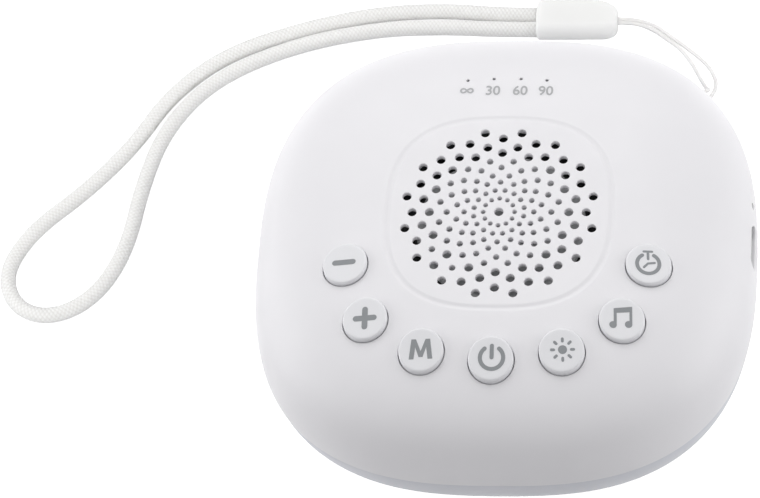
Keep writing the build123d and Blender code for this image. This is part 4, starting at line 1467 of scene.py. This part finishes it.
def smooth_line(points: list[Triple], spacing: float) -> list[Vector]:
    """Spaces points evenly along a route's spline.

    Args:
        points: the route's points in metres.
        spacing: distance between the points that come back.

    Returns:
        Points along the spline, in metres.
    """
    line = spline_line(points)
    lengths = [0.0]
    for here, there in zip(line, line[1:]):
        lengths.append(lengths[-1] + (there - here).length)
    count = round(lengths[-1] / spacing)
    even = []
    index = 0
    for step in range(count + 1):
        target = lengths[-1] * step / count
        while index < len(lengths) - 2 and lengths[index + 1] < target:
            index += 1
        share = (target - lengths[index]) / (lengths[index + 1] - lengths[index])
        even.append(line[index].lerp(line[index + 1], min(max(share, 0.0), 1.0)))
    return even


@dataclass
class BraidedCord:
    """A round braid: two sets of yarns cross over and under each other along a line."""

    name: str
    route: list[Triple]
    diameter: float
    yarns: int
    pitch: float
    relief: float
    sides: int
    spacing: float
    fullness: float = 0.6
    crossing: Pair = (0.45, 0.55)  # share of its height that a yarn keeps where it dives, and the rest

    def yarn_height(self, around: float, along: float) -> Pair:
        """Finds the top yarn at a place on the braid.

        Args:
            around: how far round the cord the place lies, from 0 to 1.
            along: how far along the cord it lies, in millimetres.

        Returns:
            The yarn's height, from 0 to 1, and the place across that yarn.
        """
        first = self.yarns * around + along / self.pitch
        second = self.yarns * around - along / self.pitch
        over = (floor(first) + floor(second)) % 2 == 0
        across, lengthways = (first % 1.0, second % 1.0) if over else (second % 1.0, first % 1.0)
        low, rise = self.crossing
        dip = low + rise * sin(pi * lengthways) ** self.fullness
        return sin(pi * across) ** self.fullness * dip, across

    def surface(self, line: list[Vector]) -> tuple[list[Vector], list[float], list[float]]:
        """Lays rings of points round a line, raised where a yarn lies on top.

        Args:
            line: points of the cord's middle line.

        Returns:
            The points, the yarn height at each, and its place across that yarn.
        """
        places: list[Vector] = []
        heights: list[float] = []
        acrosses: list[float] = []
        side = Vector((0.0, 0.0, 1.0)).cross(line[1] - line[0]).normalized()
        travelled = 0.0
        for index, centre in enumerate(line):
            before = line[max(index - 1, 0)]
            after = line[min(index + 1, len(line) - 1)]
            tangent = (after - before).normalized()
            side = (side - tangent * side.dot(tangent)).normalized()
            up = tangent.cross(side)
            if index:
                travelled += (centre - before).length / MM
            for number in range(self.sides):
                around = number / self.sides
                height, across = self.yarn_height(around, travelled)
                radius = (self.diameter / 2 - self.relief * (1 - height)) * MM
                angle = 2 * pi * around
                places.append(centre + (side * cos(angle) + up * sin(angle)) * radius)
                heights.append(height)
                acrosses.append(across)
        return places, heights, acrosses

    def skin_faces(self, rings: int) -> list[tuple[int, ...]]:
        """Joins the rings of points and closes both ends.

        Args:
            rings: number of rings.

        Returns:
            The point numbers of each face.
        """
        faces: list[tuple[int, ...]] = []
        for ring in range(rings - 1):
            for number in range(self.sides):
                here = ring * self.sides + number
                beside = ring * self.sides + (number + 1) % self.sides
                faces.append((here, beside, beside + self.sides, here + self.sides))
        last = (rings - 1) * self.sides
        faces.append(tuple(reversed(range(self.sides))))
        faces.append(tuple(range(last, last + self.sides)))
        return faces

    def build(self) -> tuple[bpy.types.Object, list[Vector]]:
        """Makes the braid's mesh.

        Returns:
            The mesh and the line that it follows.
        """
        line = smooth_line(self.route, self.spacing * MM)
        places, heights, acrosses = self.surface(line)
        mesh = bpy.data.meshes.new(self.name)
        mesh.from_pydata(places, [], self.skin_faces(len(line)))
        for label, values in (("yarn_height", heights), ("across_yarn", acrosses)):
            mesh.attributes.new(label, "FLOAT", "POINT").data.foreach_set("value", values)
        piece = bpy.data.objects.new(self.name, mesh)
        bpy.context.scene.collection.objects.link(piece)
        activate(piece)
        bpy.ops.object.mode_set(mode="EDIT")
        bpy.ops.mesh.select_all(action="SELECT")
        bpy.ops.mesh.normals_make_consistent(inside=False)
        bpy.ops.object.mode_set(mode="OBJECT")
        bpy.ops.object.shade_smooth()
        return piece, line


@dataclass
class WristStrap:
    """Braided loop, moulded sleeve and thin string through the housing's slot."""

    housing: Housing
    strap_width: float = 3.4
    strap_z: float = 1.75
    strap_points: tuple[Point, ...] = (
        (2.1, 69.45), (-4.9, 69.45), (-16.9, 70.7), (-32.0, 70.1), (-49.1, 65.9), (-64.8, 59.4),
        (-75.7, 49.0), (-82.0, 36.8), (-91.1, 25.3), (-101.1, 16.0), (-105.8, 7.4), (-105.7, 1.2),
        (-102.2, -3.9), (-96.2, -5.6), (-89.6, -2.9), (-84.4, 3.2), (-80.9, 13.0), (-79.5, 26.2),
        (-75.8, 40.8), (-66.7, 53.1), (-51.1, 61.4), (-33.1, 65.9), (-18.0, 66.5), (-4.9, 65.75),
        (2.1, 65.75))
    string_width: float = 0.9
    string_start: Triple = (19.4, 67.95, 2.3)
    string_out: tuple[Triple, ...] = (
        (23.0, 67.9, 2.3), (27.2, 67.5, 0.5), (30.0, 65.1, 0.5), (33.1, 62.5, 0.6), (36.2, 59.1, 1.6),
        (39.2, 54.2, 4.5), (41.1, 47.0, 10.0), (41.2, 42.1, 14.5))
    # Round the pin: distance along the wall, distance out of it.
    string_round_pin: tuple[Point, ...] = (
        (-0.55, 1.1), (-1.15, -0.6), (-1.15, -2.45), (1.15, -2.45), (1.15, -0.6), (0.55, 1.1))
    string_back: tuple[Triple, ...] = (
        (39.3, 42.4, 14.0), (37.3, 49.6, 8.0), (35.3, 56.4, 3.0), (32.6, 61.5, 0.8), (29.5, 64.2, 0.5),
        (26.7, 66.5, 0.5), (23.0, 66.95, 2.3))
    string_end: Triple = (19.4, 66.95, 2.3)
    sleeve_size: Triple = (17.3, 9.0, 5.0)
    sleeve_edges: Pair = (2.1, 0.9)  # radius of the lengthways edges and of the ends' edges
    edge_segments: tuple[int, int] = (10, 6)  # steps in the same two
    sleeve_left: Point = (2.1, 67.75)  # x of its left end, y of its middle
    taper_length: float = 5.5
    taper_cuts: int = 8
    taper_front: Pair = (0.4, 5.0)  # share taken off at the end, power of the curve
    taper_back: Pair = (0.55, 2.0)  # the same

    def string_route(self) -> list[Triple]:
        """Leads the string out to the slot, round its pin and back.

        Returns:
            The route's points, in metres.
        """
        pose = self.housing.anchor_pose()
        pin = [tuple(pose @ Vector((depth * MM, side * MM, 0.0))) for side, depth in self.string_round_pin]
        out = [tuple(value * MM for value in place) for place in (self.string_start, *self.string_out)]
        back = [tuple(value * MM for value in place) for place in (*self.string_back, self.string_end)]
        return [*out, *pin, *back]

    def strap_route(self) -> list[Triple]:
        """The strap's points in metres."""
        return [(x * MM, y * MM, self.strap_z * MM) for x, y in self.strap_points]

    def build_sleeve(self) -> bpy.types.Object:
        """Makes the rounded sleeve and tapers it towards the string.

        Returns:
            The sleeve.
        """
        length, _, height = self.sleeve_size
        along_edge, end_edge = self.sleeve_edges
        along_segments, end_segments = self.edge_segments
        left, middle = self.sleeve_left
        work = Workpiece("joining_sleeve")
        bpy.ops.mesh.primitive_cube_add(size=MM, location=(0.0, 0.0, 0.0))
        bpy.ops.transform.resize(value=self.sleeve_size)
        bpy.ops.transform.translate(value=((left + length / 2) * MM, middle * MM, height / 2 * MM))
        self.pick_sleeve_edges(work, ends=False)
        bpy.ops.mesh.bevel(offset=along_edge * MM, segments=along_segments, profile=0.5, affect="EDGES")
        self.pick_sleeve_edges(work, ends=True)
        bpy.ops.mesh.bevel(offset=end_edge * MM, segments=end_segments, profile=0.5, affect="EDGES")
        for step in range(self.taper_cuts):
            bpy.ops.mesh.select_all(action="SELECT")
            cut = left + length - self.taper_length * (1 - step / self.taper_cuts)
            bpy.ops.mesh.bisect(plane_co=(cut * MM, 0.0, 0.0), plane_no=(1.0, 0.0, 0.0))
        return reshape(work.close(ROUNDED_ANGLE), self.narrow_sleeve)

    def narrow_sleeve(self, place: Vector) -> Vector:
        """Tapers the sleeve towards the string, more at its back than at its front.

        Args:
            place: a place on the sleeve, in metres.

        Returns:
            Its new place.
        """
        left, middle = self.sleeve_left
        share = max(1 - (left + self.sleeve_size[0] - place.x / MM) / self.taper_length, 0.0)
        across = place.y - middle * MM
        amount, power = self.taper_back if across > 0 else self.taper_front
        return Vector((place.x, middle * MM + across * (1 - amount * share ** power), place.z))

    def pick_sleeve_edges(self, work: Workpiece, ends: bool) -> None:
        """Selects the sleeve's lengthways edges, or the outlines of its two ends.

        Args:
            work: the sleeve, still without its taper.
            ends: True for the ends' outlines.
        """
        bpy.ops.mesh.select_all(action="DESELECT")
        mesh = bmesh.from_edit_mesh(work.piece.data)
        middle = (self.sleeve_left[0] + self.sleeve_size[0] / 2) * MM
        for edge in mesh.edges:
            sides = [vertex.co.x > middle for vertex in edge.verts]
            edge.select_set((sides[0] == sides[1]) == ends)
        bmesh.update_edit_mesh(work.piece.data)

    def build(self) -> list[bpy.types.Object]:
        """Makes and dresses the strap, the sleeve and the string.

        Returns:
            All three.
        """
        sleeve = dress(self.build_sleeve(), SLEEVE, "housing", "strap_sleeve")
        strap, strap_line = BraidedCord("braided_strap", self.strap_route(), self.strap_width, yarns=8,
                                        pitch=0.85, relief=0.18, sides=60, spacing=0.19).build()
        dress(strap, STRAP_BRAID, "housing", "strap_cord")
        string, string_line = BraidedCord("loop_string", self.string_route(), self.string_width, yarns=5,
                                          pitch=0.5, relief=0.05, sides=24, spacing=0.12).build()
        dress(string, STRING_BRAID, "housing", "strap_string")
        return [strap, sleeve, string]


# ------------------------------------------------------------------ speaker's edge
@dataclass
class ConeLip:
    """Turned-out rim of the grey cone, glued over the inner foot of the rolled rubber edge."""

    centre_y: float = 0.5
    profile: tuple[Point, ...] = (
        (15.8, 26.95), (15.8, 27.08), (16.6, 27.08), (17.0, 27.34), (17.06, 27.27), (16.62, 26.95),
        (15.8, 26.95))
    sides: int = 96

    def build(self) -> bpy.types.Object:
        """Makes and dresses the lip.

        Returns:
            The lip.
        """
        work = Workpiece("cone_lip")
        radius, height = self.profile[0]
        bpy.ops.mesh.primitive_circle_add(vertices=self.sides, radius=radius * MM,
                                          location=(0.0, 0.0, height * MM))
        work.rise(list(self.profile))
        work.move_each(lambda place: place + Vector((0.0, self.centre_y * MM, 0.0)))
        return dress(work.close(), CONE, "housing")


# ------------------------------------------------------------------ inner works and carried-over parts
@dataclass
class InnerWorks:
    """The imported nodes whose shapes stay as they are, each with its own finish."""

    finishes: dict[str, Finish] = field(default_factory=lambda: {
        "light_ring": DIFFUSER, "lower_shell": BASE_ABS, "tact_switches": SWITCH_NYLON,
        "main_board": BOARD, "board_screws": SCREW_STEEL, "sound_chip": CHIP_EPOXY,
        "amplifier_chip": CHIP_EPOXY, "capacitors": CAN, "timer_lamps": LAMP, "timer_light_guide": GUIDE,
        "usb_shell": SOCKET_STEEL, "usb_tongue": SOCKET_TONGUE, "charge_lamp": LAMP,
        "speaker_frame": BASKET_COAT, "speaker_surround": SURROUND_RUBBER, "speaker_cone": CONE,
        "voice_coil": COPPER, "magnet_top_plate": SCREW_STEEL, "speaker_magnet": FERRITE,
        "magnet_back_plate": SCREW_STEEL, "speaker_gasket": FOAM, "speaker_retainer": RETAINER,
        "retainer_screws": SCREW_STEEL, "battery_pad": FOAM, "battery_cell": POUCH,
        "night_light_board": BOARD, "night_lamps": LAMP, "light_board_screws": SCREW_STEEL,
        "case_screws": SCREW_STEEL, "rubber_feet": FOOT_RUBBER})
    buttons: tuple[str, ...] = tuple(symbol.value for symbol in Symbol)

    def build(self) -> None:
        """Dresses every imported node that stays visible."""
        for name, finish in self.finishes.items():
            self.coat(name, finish)
        for button in self.buttons:
            self.coat(f"{button}_plunger", PLUNGER_NYLON)

    def coat(self, name: str, finish: Finish) -> None:
        """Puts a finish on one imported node.

        Args:
            name: the node's name.
            finish: its surface.
        """
        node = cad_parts[name]
        material = finish.material()
        if not node.material_slots:
            node.data.materials.append(material)
        for slot in node.material_slots:
            slot.material = material
        LOG.info("%s: %s", name, finish.name)


# ------------------------------------------------------------------ studio
@dataclass
class Studio:
    """Pale floor, soft light from behind and both sides, a low fill in front, and the camera, in metres."""

    camera_place: Triple = (0.080596, -0.431810, 0.737183)
    camera_right: Triple = (0.99210179, 0.06583494, -0.10676988)
    camera_up: Triple = (-0.00130668, 0.85657206, 0.51602578)
    camera_back: Triple = (0.12542862, -0.51181058, 0.84989269)
    camera_range: Pair = (0.01, 20.0)  # near, far
    lens: float = 197.67
    sensor: float = 36.0
    floor_size: float = 6.0
    floor_colour: str = "#F2F2F2"
    bounce_colour: str = "#B4B4B6"
    floor_glow: float = 0.85
    sky_strength: float = 0.5
    # Each panel: name, centre, side, watts.
    panels: tuple[tuple[str, Triple, float, float], ...] = (
        ("top_panel", (-0.1, 0.75, 0.95), 0.9, 6.0), ("left_panel", (-1.0, 0.05, 0.3), 0.8, 4.6),
        ("right_panel", (1.0, 0.05, 0.3), 0.8, 4.5))
    fill_panel: tuple[str, Triple, float, float] = ("fill_panel", (0.0, -0.7, 0.25), 0.6, 3.0)

    def build(self) -> None:
        """Makes the floor, the lights and the camera."""
        self.build_floor()
        self.build_lights()
        self.build_camera()

    def build_floor(self) -> None:
        """Lays a large floor at z = 0 that the camera sees as a bright paper sweep."""
        work = Workpiece("paper_floor")
        bpy.ops.mesh.primitive_plane_add(size=self.floor_size)
        bpy.ops.mesh.subdivide(number_cuts=3)
        floor_piece = work.close()
        material = bpy.data.materials.new("white paper sweep")
        material.use_nodes = True
        tree = material.node_tree
        tree.nodes.clear()
        paper = add_node(tree, "ShaderNodeBsdfDiffuse", {"Color": linear(self.floor_colour)})
        glow = add_node(tree, "ShaderNodeEmission", {"Strength": self.floor_glow})
        lit = add_node(tree, "ShaderNodeAddShader", {0: paper.outputs["BSDF"], 1: glow.outputs["Emission"]})
        rays = add_node(tree, "ShaderNodeLightPath").outputs
        seen = add_node(tree, "ShaderNodeMath", {0: rays["Is Camera Ray"], 1: rays["Is Glossy Ray"]},
                        operation="MAXIMUM")
        clear = add_node(tree, "ShaderNodeMath", {0: seen.outputs["Value"], 1: rays["Is Transmission Ray"]},
                         operation="MAXIMUM")
        bounce = add_node(tree, "ShaderNodeBsdfDiffuse", {"Color": linear(self.bounce_colour)})
        both = add_node(tree, "ShaderNodeMixShader",
                        {0: clear.outputs["Value"], 1: bounce.outputs["BSDF"], 2: lit.outputs["Shader"]})
        add_node(tree, "ShaderNodeOutputMaterial", {"Surface": both.outputs["Shader"]})
        floor_piece.data.materials.append(material)

    def build_lights(self) -> None:
        """Hangs three large soft panels and lights the room evenly."""
        world = bpy.data.worlds.new("bright room")
        bpy.context.scene.world = world
        world.use_nodes = True
        sky = world.node_tree.nodes["Background"]
        sky.inputs["Color"].default_value = (1.0, 1.0, 1.0, 1.0)
        sky.inputs["Strength"].default_value = self.sky_strength
        for panel in self.panels:
            self.hang_panel(*panel)

    def hang_panel(self, name: str, centre: Triple, size: float, power: float) -> bpy.types.Object:
        """Hangs one square panel that faces the machine.

        Args:
            name: its name.
            centre: where its middle hangs, in metres.
            size: its side.
            power: its power in watts.

        Returns:
            The light.
        """
        panel = bpy.data.lights.new(name, "AREA")
        panel.shape = "SQUARE"
        panel.size = size
        panel.energy = power
        holder = bpy.data.objects.new(name, panel)
        bpy.context.scene.collection.objects.link(holder)
        place = Vector(centre)
        holder.matrix_world = Matrix.Translation(place) @ place.to_track_quat("Z", "Y").to_matrix().to_4x4()
        return holder

    def fill_shade(self, pieces: list[bpy.types.Object], blocker: bpy.types.Object) -> None:
        """Lifts the shade on a few pieces with a low front panel that lights nothing else.

        Args:
            pieces: the pieces that the panel lights.
            blocker: the only piece that casts a shadow in its light.
        """
        lit = bpy.data.collections.new("pieces in the fill light")
        for piece in pieces:
            lit.objects.link(piece)
        shading = bpy.data.collections.new("pieces that shade the fill light")
        shading.objects.link(blocker)
        holder = self.hang_panel(*self.fill_panel)
        holder.light_linking.receiver_collection = lit
        holder.light_linking.blocker_collection = shading

    def build_camera(self) -> None:
        """Stands the camera in front of the machine and above it."""
        data = bpy.data.cameras.new("camera")
        data.sensor_fit = "HORIZONTAL"
        data.sensor_width = self.sensor
        data.lens = self.lens
        data.clip_start, data.clip_end = self.camera_range
        holder = bpy.data.objects.new("camera", data)
        bpy.context.scene.collection.objects.link(holder)
        turn = Matrix((self.camera_right, self.camera_up, self.camera_back)).transposed().to_4x4()
        holder.matrix_world = Matrix.Translation(self.camera_place) @ turn
        bpy.context.scene.camera = holder


# ------------------------------------------------------------------ whole machine
def button_centres() -> dict[str, Point]:
    """Finds the button caps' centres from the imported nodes.

    Returns:
        Each cap's centre in millimetres, by the button's name.
    """
    centres = {}
    for symbol in Symbol:
        low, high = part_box(f"{symbol.value}_button")
        centres[symbol.value] = ((low[0] + high[0]) / 2 / MM, (low[1] + high[1]) / 2 / MM)
    return centres


def main() -> None:
    """Builds the machine, piece by piece."""
    logging.basicConfig(level=logging.INFO, format="%(name)s: %(message)s")
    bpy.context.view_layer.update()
    bpy.context.scene.view_settings.view_transform = "Standard"
    studio = Studio()
    studio.build()
    housing = Housing()
    centres = button_centres()
    soft_pieces = WristStrap(housing).build()
    dress(housing.build_shell(list(centres.values())), SHELL_ABS, "housing", "upper_shell")
    ButtonArc(housing.form, centres).build()
    TimerScale(housing.form).build()
    lip = ConeLip().build()
    InnerWorks().build()
    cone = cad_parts["speaker_cone"]
    studio.fill_shade([*soft_pieces, lip, cone], cone)


if __name__ == "__main__":
    main()
